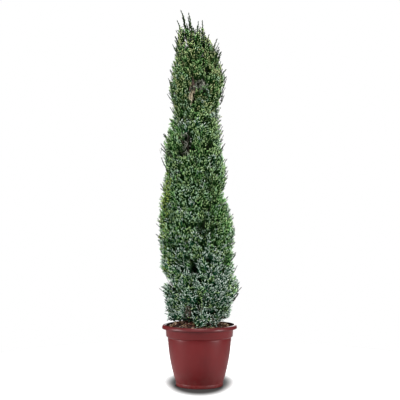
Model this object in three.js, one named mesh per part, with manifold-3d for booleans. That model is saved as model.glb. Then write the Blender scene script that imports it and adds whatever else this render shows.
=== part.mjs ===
// A young Italian cypress in a round plastic pot: one trunk with a root flare, steep boughs that leave it
// in tiers, and on each bough an upright plume of dense scale-leaved sprays. The plumes stand side by side
// round a bare inside, so that together they make the narrow column that the tree is grown for.
//
// Millimetres, +Z up. The origin is the middle of the pot's flat underside, and -Y is the front.
// An azimuth of 0 points to the front, and a quarter turn to the right, +X.

import * as THREE from "three";
import { mergeVertices } from "three/addons/utils/BufferGeometryUtils.js";
import Module from "manifold-3d";

const wasm = await Module();
wasm.setup();

// ---- Driving dimensions ----------------------------------------------------------------------------------

const GAP = 0.3; // between pieces that touch

const POT_HEIGHT = 240;
const POT_SEGMENTS = 30;
const POT_WALL = 2.4;
const POT_FLOOR = 5;
const RIM_RADIUS = 150; // the lip's outer edge
const MOUTH_RADIUS = 140; // the lip's top
const LIP_DROP = 13; // how far the lip hangs below the top
const LIP_EDGE = 4; // height of the lip's rounded edge
const COLLAR_TOP_RADIUS = 135.5;
const COLLAR_RADIUS = 133.5;
const COLLAR_FOOT = 195; // height of the collar's lower edge
const SHOULDER_HEIGHT = 188; // where the body starts below the collar's step
const SHOULDER_RADIUS = 127;
const BELLY_RADIUS = 122.9; // pulls the body's curve out between its ends
const BODY_FOOT_HEIGHT = 31;
const BODY_FOOT_RADIUS = 99.5;
const FOOT_RADIUS = 93.5;
const FOOT_BEVEL = 1.5;
const FOOT_RING_WIDTH = 9;
const CHANNEL_WIDTH = 12; // the drain channel inside the foot ring
const CHANNEL_DEPTH = 2.5;
const DRAIN_HOLES = 8;
const DRAIN_RADIUS = 4.5;

const SOIL_TOP = 216;
const SOIL_MOUND = 5; // how much higher it lies round the trunk
const SOIL_ROUGHNESS = 2.5;
const SEAT_RADIUS = 26; // flat soil under the trunk

const GROUND = SOIL_TOP + SOIL_MOUND; // the height of the trunk's flat cut
const TREE_TOP = 1511;
const TRUNK_TIP = 1290; // above this the leader's own stem goes on
const TRUNK_RADIUS = 13.5;
const TRUNK_TIP_RADIUS = 3.4;
const FLARE_RADIUS = 22;
const FLARE_HEIGHT = 45;
const FLARE_RIDGES = 5;
const FLARE_LEVELS = [0, 0.2, 0.5, 1];
const TRUNK_SIDES = 10;
const TRUNK_STEPS = 18;

// The column's outline, sprays included: height, reach from the crown's axis, and that axis's sideways lean.
const LOWEST_LEAF = 227;
const CROWN = [
  [LOWEST_LEAF, 112, -4],
  [275, 128, -2],
  [330, 134, 0],
  [385, 152, 4],
  [440, 141, -2],
  [550, 144, -13],
  [650, 148, -15],
  [700, 138, -22],
  [790, 126, -21],
  [870, 122, -13],
  [950, 119, -31],
  [1010, 108, -22],
  [1110, 87, -15],
  [1180, 107, -15],
  [1240, 107, -3],
  [1300, 93, -14],
  [1365, 84, -12],
  [1410, 60, -33],
  [1463, 53, -42],
  [1480, 24, -66],
  [TREE_TOP, 10, -74],
];

// The trunk's own lean: height, then how far its middle lies to the right of the pot's.
const TRUNK_LEAN = [
  [GROUND, 0],
  [420, -3],
  [620, -13],
  [900, -18],
  [1120, -21],
  [1200, -16],
  [TRUNK_TIP, -22],
];
const TRUNK_SWAY = 5; // how far it wanders towards the front and the back

// The bare inside: height, and how far from the trunk's middle the foliage starts.
const INSIDE = [
  [240, 36],
  [400, 36],
  [700, 31],
  [1000, 22],
  [TRUNK_TIP, 13],
];

// Places that the foliage leaves open: azimuth in degrees, height, half width, half height, and how far in it goes.
const HOLLOWS = [
  [4, 1168, 36, 54, 108],
  [-30, 946, 17, 52, 55],
  [14, 570, 12, 74, 42],
  [-24, 254, 26, 20, 96],
  [-90, 424, 60, 15, 34],
  [84, 752, 50, 13, 22],
];

// Lone sprigs that stand out of the column: azimuth in degrees, height of the tip and its reach from the crown's axis.
const SPRIGS = [
  [-90, 968, 126],
  [-90, 392, 154],
  [-82, 700, 141],
  [90, 1258, 113],
  [88, 872, 126],
  [90, 390, 152],
  [84, 1380, 88],
  [90, 1499, 26],
];

// Tiers of plumes from the ground up, each a ring of them round the trunk that stands in the gaps of the one below.
// A tier's first azimuth is turn, in degrees. Its foliage goes from foot to tip, and by the stagger higher on every
// other plume. Its limbs leave the trunk by limbDrop below the foliage's foot.
const PLUMES_IN_TIER = 5;
const TIERS = [
  { name: "skirt", turn: -84, foot: 227, tip: 476, stagger: 24, limbDrop: -24 },
  { name: "lower", turn: -120, foot: 296, tip: 800, stagger: 54, limbDrop: 20 },
  { name: "middle", turn: -84, foot: 540, tip: 1046, stagger: 54, limbDrop: 60 },
  { name: "upper", turn: -120, foot: 788, tip: 1240, stagger: 46, limbDrop: 52 },
  { name: "top", turn: -84, foot: 1066, tip: 1440, stagger: 30, limbDrop: 16 },
];
// Plumes that differ from their tier's rule: those that make the column's shoulders and its lesser tips.
const OWN_SPANS = {
  upper_4: { foot: 880, tip: 1392 },
  top_1: { tip: 1466 },
  top_2: { foot: 1196, tip: 1446 },
  top_3: { tip: 1464 },
};
const LIMB_STAGGER = 3; // each further limb of a tier leaves the trunk this much lower
const TIP_STRAY = 12; // the most that a tip strays from its tier's rule
const TURN_STRAY = 5; // and an azimuth, in degrees

const BOUGH_RADIUS = [5.4, 2.2]; // at the trunk, for the lowest and the highest limbs
const BARE_BOUGH = { leaves: 1136, reaches: [42, -52, 62], radius: 3.4, twigs: 4, twigLength: 30 };
const LIMB_COLLAR = 0.2; // a limb's swelling where it leaves the trunk, as a share of its radius
const LIMB_TAPER = 0.35; // a limb's tip, as a share of its foot
const BOUGH_SIDES = 5;
const STEM_SIDES = 4;
const ENTRY = 0.12; // where a limb enters its plume, as a share of the plume's height
const ELBOW_HEIGHT = 0.42; // a limb's elbow, as a share of the climb to its entry
const ELBOW_REACH = 0.66; // and of the way out to it
const LIMB_STATIONS = [0.27, 0.48, 0.72, 0.93]; // and where it then follows the middle of the plume's space
const LIMB_STEP = 60; // length of a limb's facets

const LEADER_REACH = 44;
const CORE_SHARE = 0.98; // the dense middle of a plume, as a share of its reach
const CORE_INSET = 10; // and how far it stays behind the column's outline
const CORE_SIDES = 8;
const CORE_RINGS = 6;
const CORE_TOP = 0.88; // and ends at the latest at this share of the plume's height
const CORE_CLEARANCE = 3; // each plume's core keeps this far inside its own space
const CLEARANCE = 1.4; // and its sprays this far
const OVERHANG = 12; // how far a spray's tip may stand out of the column's outline
const SPRAYS = 12; // on each plume
const SPRAY_LENGTH = [84, 62]; // on the lowest and on the highest plumes
const SPRAY_WIDTH = 0.17; // half of it, as a share of its length
const SPRAY_THICKNESS = 0.05; // half of it
const SPRAY_SHRINKS = [1, 0.82, 0.66]; // tried in turn until the spray fits
const SPRIG_DROP = 70; // how far below its tip a lone sprig aims back to
const SPRAY_FAN = 130; // degrees that the sprays spread to each side of a plume's outer face
const TIP_SPREAD = 1.3; // how much further out a plume's tip stands than its middle
const GOLDEN_SHARE = (Math.sqrt(5) - 1) / 2;
const SEED = 20;

const COLOURS = {
  pot: [0x7d3a3c, 0.42],
  soil: [0x3b2b22, 0.95],
  bark: [0x6b5645, 0.9],
  foliage: [0x47663c, 0.75],
  young: [0x5b7a45, 0.75],
};

// ---- Small helpers ---------------------------------------------------------------------------------------

// Repeatable random numbers from 0 to 1.
function dice(seed) {
  let state = seed >>> 0;
  return () => {
    state = (state + 0x6d2b79f5) >>> 0;
    let mixed = Math.imul(state ^ (state >>> 15), 1 | state);
    mixed ^= mixed + Math.imul(mixed ^ (mixed >>> 7), 61 | mixed);
    return ((mixed ^ (mixed >>> 14)) >>> 0) / 4294967296;
  };
}

// The value in one column of a table whose rows start with a height, at any height.
function at(rows, height, column = 1) {
  const above = rows.findIndex((row) => row[0] > height);
  if (above === 0) return rows[0][column];
  if (above < 0) return rows[rows.length - 1][column];
  const [low, high] = [rows[above - 1], rows[above]];
  return THREE.MathUtils.mapLinear(height, low[0], high[0], low[column], high[column]);
}

const towards = (azimuth) => new THREE.Vector3(Math.sin(azimuth), -Math.cos(azimuth), 0);

function ring(centre, sides, radiusAt) {
  return Array.from({ length: sides }, (_, i) => {
    const azimuth = (2 * Math.PI * i) / sides;
    return centre.clone().addScaledVector(towards(azimuth), radiusAt(azimuth));
  });
}

// A closed skin over a stack of rings of equal counts, with a fan over each end.
function skin(rings) {
  const sides = rings[0].length;
  const points = rings.flat();
  const faces = [];
  for (let low = 0; low < points.length - sides; low += sides)
    for (let s = 0; s < sides; s++) {
      const [a, b] = [low + s, low + ((s + 1) % sides)];
      faces.push(a, b, b + sides, a, b + sides, a + sides);
    }
  for (const start of [0, points.length - sides]) {
    const middle = new THREE.Vector3();
    for (let s = 0; s < sides; s++) middle.addScaledVector(points[start + s], 1 / sides);
    const hub = points.push(middle) - 1;
    for (let s = 0; s < sides; s++) {
      const edge = [start + s, start + ((s + 1) % sides)];
      faces.push(hub, ...(start > 0 ? edge : edge.reverse()));
    }
  }
  return new THREE.BufferGeometry().setFromPoints(points).setIndex(faces);
}

function solidOf(geometry) {
  const bare = geometry.clone();
  bare.deleteAttribute("normal");
  bare.deleteAttribute("uv");
  const merged = mergeVertices(bare, 1e-3);
  return new wasm.Manifold(
    new wasm.Mesh({
      numProp: 3,
      vertProperties: new Float32Array(merged.attributes.position.array),
      triVerts: new Uint32Array(merged.index.array),
    }),
  );
}

// Back to a geometry. A scrap that a cut leaves loose is dropped.
function geometryOf(solid) {
  const whole = solid.decompose().sort((a, b) => b.volume() - a.volume())[0];
  const { vertProperties, triVerts } = whole.getMesh();
  const geometry = new THREE.BufferGeometry()
    .setAttribute("position", new THREE.BufferAttribute(new Float32Array(vertProperties), 3))
    .setIndex(new THREE.BufferAttribute(new Uint32Array(triVerts), 1));
  geometry.computeVertexNormals();
  return geometry;
}

// ---- Pot and soil ----------------------------------------------------------------------------------------

const bodyCurve = (inset) =>
  new THREE.QuadraticBezierCurve(
    new THREE.Vector2(BODY_FOOT_RADIUS - inset, BODY_FOOT_HEIGHT),
    new THREE.Vector2(BELLY_RADIUS - inset, (BODY_FOOT_HEIGHT + SHOULDER_HEIGHT) / 2),
    new THREE.Vector2(SHOULDER_RADIUS - inset, SHOULDER_HEIGHT),
  );

// Outer profile from the underside's middle to the lip's top, then down the inside to the floor's middle.
function potProfile() {
  const ringInner = FOOT_RADIUS - FOOT_RING_WIDTH;
  const channelInner = ringInner - CHANNEL_WIDTH;
  const outside = [
    [0, 0],
    [channelInner, 0],
    [channelInner + CHANNEL_DEPTH / 2, CHANNEL_DEPTH],
    [ringInner - CHANNEL_DEPTH / 2, CHANNEL_DEPTH],
    [ringInner, 0],
    [FOOT_RADIUS - FOOT_BEVEL, 0],
    [FOOT_RADIUS, FOOT_BEVEL],
    [BODY_FOOT_RADIUS - FOOT_BEVEL, BODY_FOOT_HEIGHT - FOOT_BEVEL],
    ...bodyCurve(0).getPoints(4).map((p) => [p.x, p.y]),
    [COLLAR_RADIUS, COLLAR_FOOT],
    [COLLAR_TOP_RADIUS, POT_HEIGHT - LIP_DROP + POT_WALL],
    [RIM_RADIUS - POT_WALL, POT_HEIGHT - LIP_DROP],
    [RIM_RADIUS, POT_HEIGHT - LIP_DROP + LIP_EDGE / 3],
    [RIM_RADIUS, POT_HEIGHT - LIP_DROP + LIP_EDGE],
    [MOUTH_RADIUS + POT_WALL, POT_HEIGHT - POT_WALL / 2],
    [MOUTH_RADIUS, POT_HEIGHT],
  ];
  const inside = [
    [MOUTH_RADIUS - POT_WALL, POT_HEIGHT - POT_WALL / 2],
    [COLLAR_TOP_RADIUS - POT_WALL, POT_HEIGHT - LIP_DROP + POT_WALL],
    ...insideWall(0),
    [0, POT_FLOOR],
  ];
  return [...outside, ...inside].map(([radius, height]) => new THREE.Vector2(radius, height));
}

// The wall that the soil lies against, from the collar down to the floor's edge, as [radius, height].
function insideWall(gap) {
  const inset = POT_WALL + gap;
  return [
    [COLLAR_RADIUS - inset, COLLAR_FOOT],
    ...bodyCurve(inset).getPoints(4).reverse().map((p) => [p.x, p.y]),
    [FOOT_RADIUS - inset, POT_FLOOR + gap],
  ];
}

function makePot() {
  const shell = new THREE.LatheGeometry(potProfile(), POT_SEGMENTS).rotateX(Math.PI / 2);
  let solid = solidOf(shell);
  const holeCircle = FOOT_RADIUS - FOOT_RING_WIDTH - CHANNEL_WIDTH / 2;
  for (let i = 0; i < DRAIN_HOLES; i++) {
    const hole = new THREE.CylinderGeometry(DRAIN_RADIUS, DRAIN_RADIUS, 4 * POT_FLOOR, 8);
    const place = towards((2 * Math.PI * (i + 0.5)) / DRAIN_HOLES).multiplyScalar(holeCircle);
    hole.rotateX(Math.PI / 2).translate(place.x, place.y, 0);
    solid = solid.subtract(solidOf(hole));
  }
  return geometryOf(solid);
}

// The root ball fills the pot. Its top is rough, and flat only under the trunk.
function makeSoil() {
  const roll = dice(SEED);
  const rings = insideWall(GAP)
    .reverse()
    .map(([radius, height]) => ring(new THREE.Vector3(0, 0, height), POT_SEGMENTS, () => radius));
  const edge = COLLAR_RADIUS - POT_WALL - GAP;
  const middle = new THREE.Vector3(0, 0, SOIL_TOP);
  rings.push(ring(middle, POT_SEGMENTS, () => edge));
  for (const share of [0.82, 0.52]) {
    const level = middle.clone().setZ(SOIL_TOP + SOIL_MOUND * (1 - share));
    const rough = ring(level, POT_SEGMENTS, () => edge * share);
    rough.forEach((point) => (point.z += SOIL_ROUGHNESS * (2 * roll() - 1)));
    rings.push(rough);
  }
  rings.push(ring(middle.clone().setZ(GROUND), POT_SEGMENTS, () => SEAT_RADIUS));
  return skin(rings);
}

// ---- Trunk -----------------------------------------------------------------------------------------------

// The trunk stands in the middle of the pot and leans a little with the crown.
function trunkCentre(height) {
  const sway = TRUNK_SWAY * Math.sin(Math.max(0, height - GROUND) / 170);
  return new THREE.Vector3(at(TRUNK_LEAN, height), sway, height);
}

function trunkRadius(height) {
  const risen = (height - GROUND) / (TRUNK_TIP - GROUND);
  return THREE.MathUtils.lerp(TRUNK_RADIUS, TRUNK_TIP_RADIUS, Math.pow(Math.max(risen, 0), 0.85));
}

function trunkGeometry(grown = 0) {
  const rings = [];
  const heights = FLARE_LEVELS.map((share) => GROUND + GAP + FLARE_HEIGHT * share);
  const step = (TRUNK_TIP - GROUND - FLARE_HEIGHT) / TRUNK_STEPS;
  for (let i = 1; i <= TRUNK_STEPS; i++) heights.push(GROUND + FLARE_HEIGHT + i * step);
  for (const height of heights) {
    const flare = Math.pow(Math.max(0, 1 - (height - GROUND) / FLARE_HEIGHT), 2.2);
    const radiusAt = (azimuth) =>
      grown +
      trunkRadius(height) +
      (FLARE_RADIUS - TRUNK_RADIUS) * flare * (1 + 0.35 * Math.cos(FLARE_RIDGES * azimuth));
    rings.push(ring(trunkCentre(height), TRUNK_SIDES, radiusAt));
  }
  return skin(rings);
}

// ---- Plumes and their spaces -----------------------------------------------------------------------------

// How full a plume is at a share of its height: it opens quickly, is widest below its middle and ends in a point.
const fullness = (share) =>
  share <= 0 || share >= 1 ? 0 : Math.pow(Math.sin(Math.PI * Math.pow(share, 0.8)), 0.6);

function planPlumes() {
  const roll = dice(SEED + 1);
  const stray = (most) => most * (2 * roll() - 1);
  const ranks = TIERS.flatMap((tier) =>
    Array.from({ length: PLUMES_IN_TIER }, (_, i) => {
      const label = `${tier.name}_${i + 1}`;
      const lift = tier.stagger * (i % 2);
      const azimuth = tier.turn + (360 * i) / PLUMES_IN_TIER + stray(TURN_STRAY);
      const plume = { label, azimuth: THREE.MathUtils.degToRad(azimuth) };
      Object.assign(plume, { foot: tier.foot + lift, tip: tier.tip + lift + stray(TIP_STRAY) }, OWN_SPANS[label]);
      plume.limbAt = plume.foot - tier.limbDrop - LIMB_STAGGER * i;
      return plume;
    }),
  );
  const leader = { label: "leader", leads: true, azimuth: 0, foot: TRUNK_TIP - 45, tip: TREE_TOP };
  return [...ranks, leader];
}

const plumes = planPlumes();
for (const plume of plumes) {
  const widest = THREE.MathUtils.lerp(plume.foot, plume.tip, 0.36);
  plume.out = towards(plume.azimuth);
  plume.reach = plume.leads ? LEADER_REACH : (at(CROWN, widest) - at(INSIDE, widest)) / 2;
}

const crownAxis = (height) => new THREE.Vector3(at(CROWN, height, 2), 0, height);

// The middle of a plume's space: out from the bare inside, then midway to the outline, and further out at its tip.
function spaceCentre(plume, height) {
  const share = (height - plume.foot) / (plume.tip - plume.foot);
  const axis = crownAxis(height);
  if (plume.leads) return trunkCentre(height).lerp(axis, THREE.MathUtils.smoothstep(share, 0.2, 1));
  const reach = at(CROWN, height);
  const settled = (reach + at(INSIDE, height)) / 2;
  const opening = THREE.MathUtils.lerp(0.78, 1, THREE.MathUtils.smoothstep(share, -0.1, 0.35));
  const closing = THREE.MathUtils.lerp(1, TIP_SPREAD, THREE.MathUtils.smoothstep(share, 0.45, 1));
  return axis.addScaledVector(plume.out, settled * opening * closing);
}

const reachAt = (plume, height) =>
  plume.reach * fullness((height - plume.foot) / (plume.tip - plume.foot));

const outlineDepth = (point) => at(CROWN, point.z) - point.clone().sub(crownAxis(point.z)).length();

function hollowDepth(point, [azimuth, height, halfWidth, halfHeight, depth]) {
  const out = towards(THREE.MathUtils.degToRad(azimuth));
  const side = new THREE.Vector3(-out.y, out.x, 0);
  const from = point.clone().sub(crownAxis(height).addScaledVector(out, at(CROWN, height)));
  const shares = [from.dot(out) / depth, from.dot(side) / halfWidth, (point.z - height) / halfHeight];
  return (Math.hypot(...shares) - 1) * Math.min(halfWidth, halfHeight);
}

// How far inside the plume's space a point lies: from its neighbours, the bare inside and the hollows.
function depthIn(plume, point) {
  const height = point.z;
  const [centre, own] = [spaceCentre(plume, height), reachAt(plume, height)];
  const flat = point.clone().sub(centre).setZ(0);
  let depth = Math.min(height - LOWEST_LEAF, ...HOLLOWS.map((hollow) => hollowDepth(point, hollow)));
  for (const other of plumes) {
    if (other === plume || height < other.foot || height > other.tip) continue;
    const between = spaceCentre(other, height).sub(centre).setZ(0);
    const span = between.length();
    const border = (span * span + own * own - reachAt(other, height) ** 2) / (2 * span);
    depth = Math.min(depth, border - flat.dot(between) / span);
  }
  if (plume.leads) return Math.min(depth, height - TRUNK_TIP - GAP);
  const inward = point.clone().sub(trunkCentre(height)).dot(plume.out);
  return Math.min(depth, inward - at(INSIDE, height));
}

// ---- Limbs -----------------------------------------------------------------------------------------------

// A plume's limb: from inside the trunk up through the bare inside, into the plume's space and up that to its tip.
function limbPath(plume) {
  const heightAt = (share) => THREE.MathUtils.lerp(plume.foot, plume.tip, share);
  const stations = LIMB_STATIONS.map((share) => spaceCentre(plume, heightAt(share)));
  if (plume.leads) return new THREE.CatmullRomCurve3([trunkCentre(TRUNK_TIP + GAP), ...stations.slice(1)]);
  const entry = heightAt(ENTRY);
  const elbow = THREE.MathUtils.lerp(plume.limbAt, entry, ELBOW_HEIGHT);
  const [bend, inside] = [elbow, entry].map((height, i) =>
    trunkCentre(height).addScaledVector(plume.out, at(INSIDE, height) * (i ? 1 : ELBOW_REACH)),
  );
  return new THREE.CatmullRomCurve3([trunkCentre(plume.limbAt), bend, inside, ...stations]);
}

function limbRadius(plume, share) {
  const risen = (plume.foot - GROUND) / (TREE_TOP - GROUND);
  const foot = plume.leads
    ? TRUNK_TIP_RADIUS
    : THREE.MathUtils.lerp(BOUGH_RADIUS[0], BOUGH_RADIUS[1], risen);
  return foot * THREE.MathUtils.lerp(1, LIMB_TAPER, share);
}

// A tapering round limb along part of a path.
function tube(path, from, to, radiusAt, sides) {
  const steps = Math.max(2, Math.round(((to - from) * path.getLength()) / LIMB_STEP));
  const side = new THREE.Vector3().crossVectors(path.getTangentAt(from), new THREE.Vector3(0.3, 1, 0));
  const rings = [];
  for (let i = 0; i <= steps; i++) {
    const share = THREE.MathUtils.lerp(from, to, i / steps);
    const along = path.getTangentAt(share);
    side.addScaledVector(along, -side.dot(along)).normalize();
    const across = new THREE.Vector3().crossVectors(along, side);
    const centre = path.getPointAt(share);
    rings.push(
      Array.from({ length: sides }, (_, s) => {
        const angle = (2 * Math.PI * s) / sides;
        const spoke = side.clone().multiplyScalar(Math.cos(angle)).addScaledVector(across, Math.sin(angle));
        return centre.clone().addScaledVector(spoke, radiusAt(share));
      }),
    );
  }
  return skin(rings);
}

// The share of the path at which the bough hands over to the stem inside its plume.
function handOver(plume, path) {
  if (plume.leads) return 0;
  for (let share = 0.05; share < 0.6; share += 0.01) {
    const point = path.getPointAt(share);
    const out = point.clone().sub(trunkCentre(point.z)).dot(plume.out);
    if (out > at(INSIDE, point.z) - limbRadius(plume, share)) return share;
  }
  return 0.6;
}

// One limb has died back to bare wood: it leaves the trunk where the foliage is open and carries a few dry twigs.
function makeBareBough(trunkCut) {
  const { leaves, reaches, radius, twigs, twigLength } = BARE_BOUGH;
  const start = trunkCentre(leaves);
  const end = start.clone().add(new THREE.Vector3(...reaches));
  const bend = start.clone().lerp(end, 0.5).add(new THREE.Vector3(-4, -8, -6));
  const path = new THREE.CatmullRomCurve3([start, bend, end]);
  const pieces = [solidOf(tube(path, 0, 1, (share) => radius * (1 - 0.6 * share), BOUGH_SIDES))];
  for (let i = 0; i < twigs; i++) {
    const root = path.getPointAt(0.45 + (0.5 * i) / twigs);
    const turn = i % 2 ? 1 : -1;
    const lean = new THREE.Vector3(0.55 * turn, -0.4, 1).normalize();
    const tip = root.clone().addScaledVector(lean, twigLength * (1 - 0.12 * i));
    const twig = new THREE.LineCurve3(root, tip);
    pieces.push(solidOf(tube(twig, 0, 1, (share) => radius * 0.42 * (1 - 0.6 * share), 3)));
  }
  return geometryOf(wasm.Manifold.union(pieces).subtract(trunkCut));
}

// The bough springs from a swollen collar and is cut to the trunk's surface.
function makeBough(plume, trunkCut) {
  const radiusAt = (share) => limbRadius(plume, share) * (1 + LIMB_COLLAR * Math.exp(-40 * share));
  const limb = solidOf(tube(plume.path, 0, plume.enters, radiusAt, BOUGH_SIDES));
  return geometryOf(limb.subtract(trunkCut));
}

// ---- Foliage ---------------------------------------------------------------------------------------------

// A spray of scale leaves: a thin three-pronged blade on its own twig, along +Y, its root at the origin.
function sprayGeometry(length, width, thickness) {
  const outline = [
    [0, 0],
    [width, 0.62],
    [0, 1],
    [-0.35 * width, 0.64],
    [-width, 0.5],
  ];
  const points = outline.map(([x, y]) => new THREE.Vector3(x * length, y * length, 0));
  const middle = 0.44 * length;
  points.push(new THREE.Vector3(0, middle, thickness * length));
  points.push(new THREE.Vector3(0, middle, -thickness * length));
  const [front, back] = [outline.length, outline.length + 1];
  const faces = outline.flatMap((_, i) => {
    const next = (i + 1) % outline.length;
    return [i, next, front, next, i, back];
  });
  return new THREE.BufferGeometry().setFromPoints(points).setIndex(faces);
}

const SPRAY_PROBES = [
  [0, 1],
  [SPRAY_WIDTH, 0.62],
  [-SPRAY_WIDTH, 0.5],
  [0, 0.6],
];

// Where a spray stands: its root, the way it grows and how far it is spun about that.
function sprayFrame(root, direction, spin) {
  const along = direction.clone().normalize();
  const level = new THREE.Vector3(0, 0, 1).cross(along).normalize();
  const across = level.applyAxisAngle(along, spin);
  const facing = new THREE.Vector3().crossVectors(across, along);
  return new THREE.Matrix4().makeBasis(across, along, facing).setPosition(root);
}

// The spray at a root, along a direction, or nothing where it would leave the plume's space or the outline.
function placeSpray(plume, root, direction, length, spin) {
  const frame = sprayFrame(root, direction, spin);
  for (const shrink of SPRAY_SHRINKS) {
    const size = length * shrink;
    const fits = SPRAY_PROBES.every(([x, y]) => {
      const probe = new THREE.Vector3(x * size, y * size, 0).applyMatrix4(frame);
      return depthIn(plume, probe) > CLEARANCE && outlineDepth(probe) > -OVERHANG && probe.z <= TREE_TOP;
    });
    if (fits) return sprayGeometry(size, SPRAY_WIDTH, SPRAY_THICKNESS).applyMatrix4(frame);
  }
  return null;
}

// The dense middle of a plume, pressed flat where it meets its neighbours. A step above and below is kept clear too,
// because the core runs straight from ring to ring.
function coreRadius(plume, height, azimuth) {
  const spoke = towards(azimuth);
  const step = (plume.tip - plume.foot) / (CORE_RINGS - 1);
  const fits = (radius) =>
    [-0.6, -0.3, 0, 0.3, 0.6].every((part) => {
      const level = height + part * step;
      const point = spaceCentre(plume, level).addScaledVector(spoke, radius);
      return depthIn(plume, point) > CORE_CLEARANCE && outlineDepth(point) > CORE_INSET;
    });
  let [low, high] = [0, CORE_SHARE * reachAt(plume, height)];
  if (fits(high)) return high;
  for (let i = 0; i < 12; i++) {
    const tried = (low + high) / 2;
    [low, high] = fits(tried) ? [tried, high] : [low, tried];
  }
  return low;
}

// The heights between which the middle of a plume's space is its own.
function coreSpan(plume) {
  const owned = [];
  for (let height = plume.foot; height < plume.tip; height += 4)
    if (depthIn(plume, spaceCentre(plume, height)) > 2.5 * CORE_CLEARANCE) owned.push(height);
  const highest = THREE.MathUtils.lerp(plume.foot, plume.tip, CORE_TOP);
  return [owned[0], Math.min(owned[owned.length - 1], highest)];
}

function coreGeometry(plume, [lowest, highest], roll) {
  const rings = [];
  for (let i = 0; i < CORE_RINGS; i++) {
    const height = THREE.MathUtils.lerp(lowest, highest, i / (CORE_RINGS - 1));
    const radiusAt = (azimuth) => Math.max(3, coreRadius(plume, height, azimuth) * (1 - 0.1 * roll()));
    rings.push(ring(spaceCentre(plume, height), CORE_SIDES, radiusAt));
  }
  return skin(rings);
}

// The sprigs that stand out of this plume rather than out of another, each aimed back into its dense middle.
function sprigsOf(plume) {
  return SPRIGS.map(([azimuth, height, reach]) => {
    const out = towards(THREE.MathUtils.degToRad(azimuth));
    return crownAxis(height).addScaledVector(out, reach);
  })
    .filter((tip) => {
      const within = tip.clone().lerp(crownAxis(tip.z - SPRIG_DROP / 2), 0.2);
      const owner = plumes.reduce((a, b) => (depthIn(b, within) > depthIn(a, within) ? b : a));
      return owner === plume;
    })
    .map((tip) => {
      const back = spaceCentre(plume, tip.z - SPRIG_DROP).lerp(tip, 0.25);
      const growth = tip.clone().sub(back);
      const blade = sprayGeometry(growth.length(), 0.6 * SPRAY_WIDTH, 0.6 * SPRAY_THICKNESS);
      return blade.applyMatrix4(sprayFrame(back, growth, 0));
    });
}

function makePlume(plume, index) {
  const roll = dice(SEED + 100 + index);
  const [lowest, highest] = coreSpan(plume);
  const stemStart = plume.leads ? 0 : plume.enters + GAP / plume.path.getLength();
  const stem = tube(plume.path, stemStart, 1, (share) => limbRadius(plume, share), STEM_SIDES);
  const pieces = [solidOf(stem), solidOf(coreGeometry(plume, [lowest, highest], roll))];
  const length = at([[0, SPRAY_LENGTH[0]], [TREE_TOP, SPRAY_LENGTH[1]]], plume.foot);
  for (let i = 0, placed = 0; i < 4 * SPRAYS && placed < SPRAYS; i++) {
    const share = ((i + 0.5) / SPRAYS) % 1;
    const height = THREE.MathUtils.lerp(lowest, highest, share);
    const fan = 2 * ((i * GOLDEN_SHARE) % 1) - 1;
    const azimuth = plume.azimuth + fan * THREE.MathUtils.degToRad(plume.leads ? 180 : SPRAY_FAN);
    const radius = coreRadius(plume, height, azimuth) * 0.82;
    const root = spaceCentre(plume, height).addScaledVector(towards(azimuth), radius);
    const steepness = THREE.MathUtils.lerp(plume.foot < 300 ? 0.1 : 0.6, 1.25, share) + 0.2 * roll();
    const direction = towards(azimuth).multiplyScalar(Math.cos(steepness)).setZ(Math.sin(steepness));
    const size = length * (0.85 + 0.3 * roll());
    const spray = placeSpray(plume, root, direction, size, (roll() - 0.5) * 2.4);
    if (!spray) continue;
    pieces.push(solidOf(spray));
    placed++;
  }
  const crest = plume.path.getPointAt(0.94);
  const up = plume.path.getTangentAt(1);
  const tipSpray = placeSpray(plume, crest, up, (plume.tip - crest.z) / up.z, roll());
  if (tipSpray) pieces.push(solidOf(tipSpray));
  pieces.push(...sprigsOf(plume).map(solidOf));
  return geometryOf(wasm.Manifold.union(pieces));
}

// ---- Assembly --------------------------------------------------------------------------------------------

const tree = new THREE.Group();

function add(name, geometry, colour) {
  const [color, roughness] = COLOURS[colour];
  const mesh = new THREE.Mesh(geometry, new THREE.MeshStandardMaterial({ color, roughness, metalness: 0 }));
  mesh.name = name;
  tree.add(mesh);
}

add("pot", makePot(), "pot");
add("soil", makeSoil(), "soil");
add("trunk", trunkGeometry(), "bark");

const trunkCut = solidOf(trunkGeometry(GAP));
add("bare_bough", makeBareBough(trunkCut), "bark");
plumes.forEach((plume, index) => {
  plume.path = limbPath(plume);
  plume.enters = handOver(plume, plume.path);
  if (!plume.leads) add(`bough_${plume.label}`, makeBough(plume, trunkCut), "bark");
  add(`foliage_${plume.label}`, makePlume(plume, index), plume.foot > 1000 ? "young" : "foliage");
});

export default tree;
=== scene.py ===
# %% [markdown]
# # A young Italian cypress in a wine red pot
#
# A columnar cypress looks solid from across a room, and up close it is nothing but thousands of thin cords:
# every twig is wrapped in scale leaves pressed flat against it, and the twigs stand in feathery sprays. This
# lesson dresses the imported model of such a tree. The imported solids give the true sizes, and each is replaced
# here by a piece with the real surface: a moulded pot, rough soil, barked wood, and foliage that grows.

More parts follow.
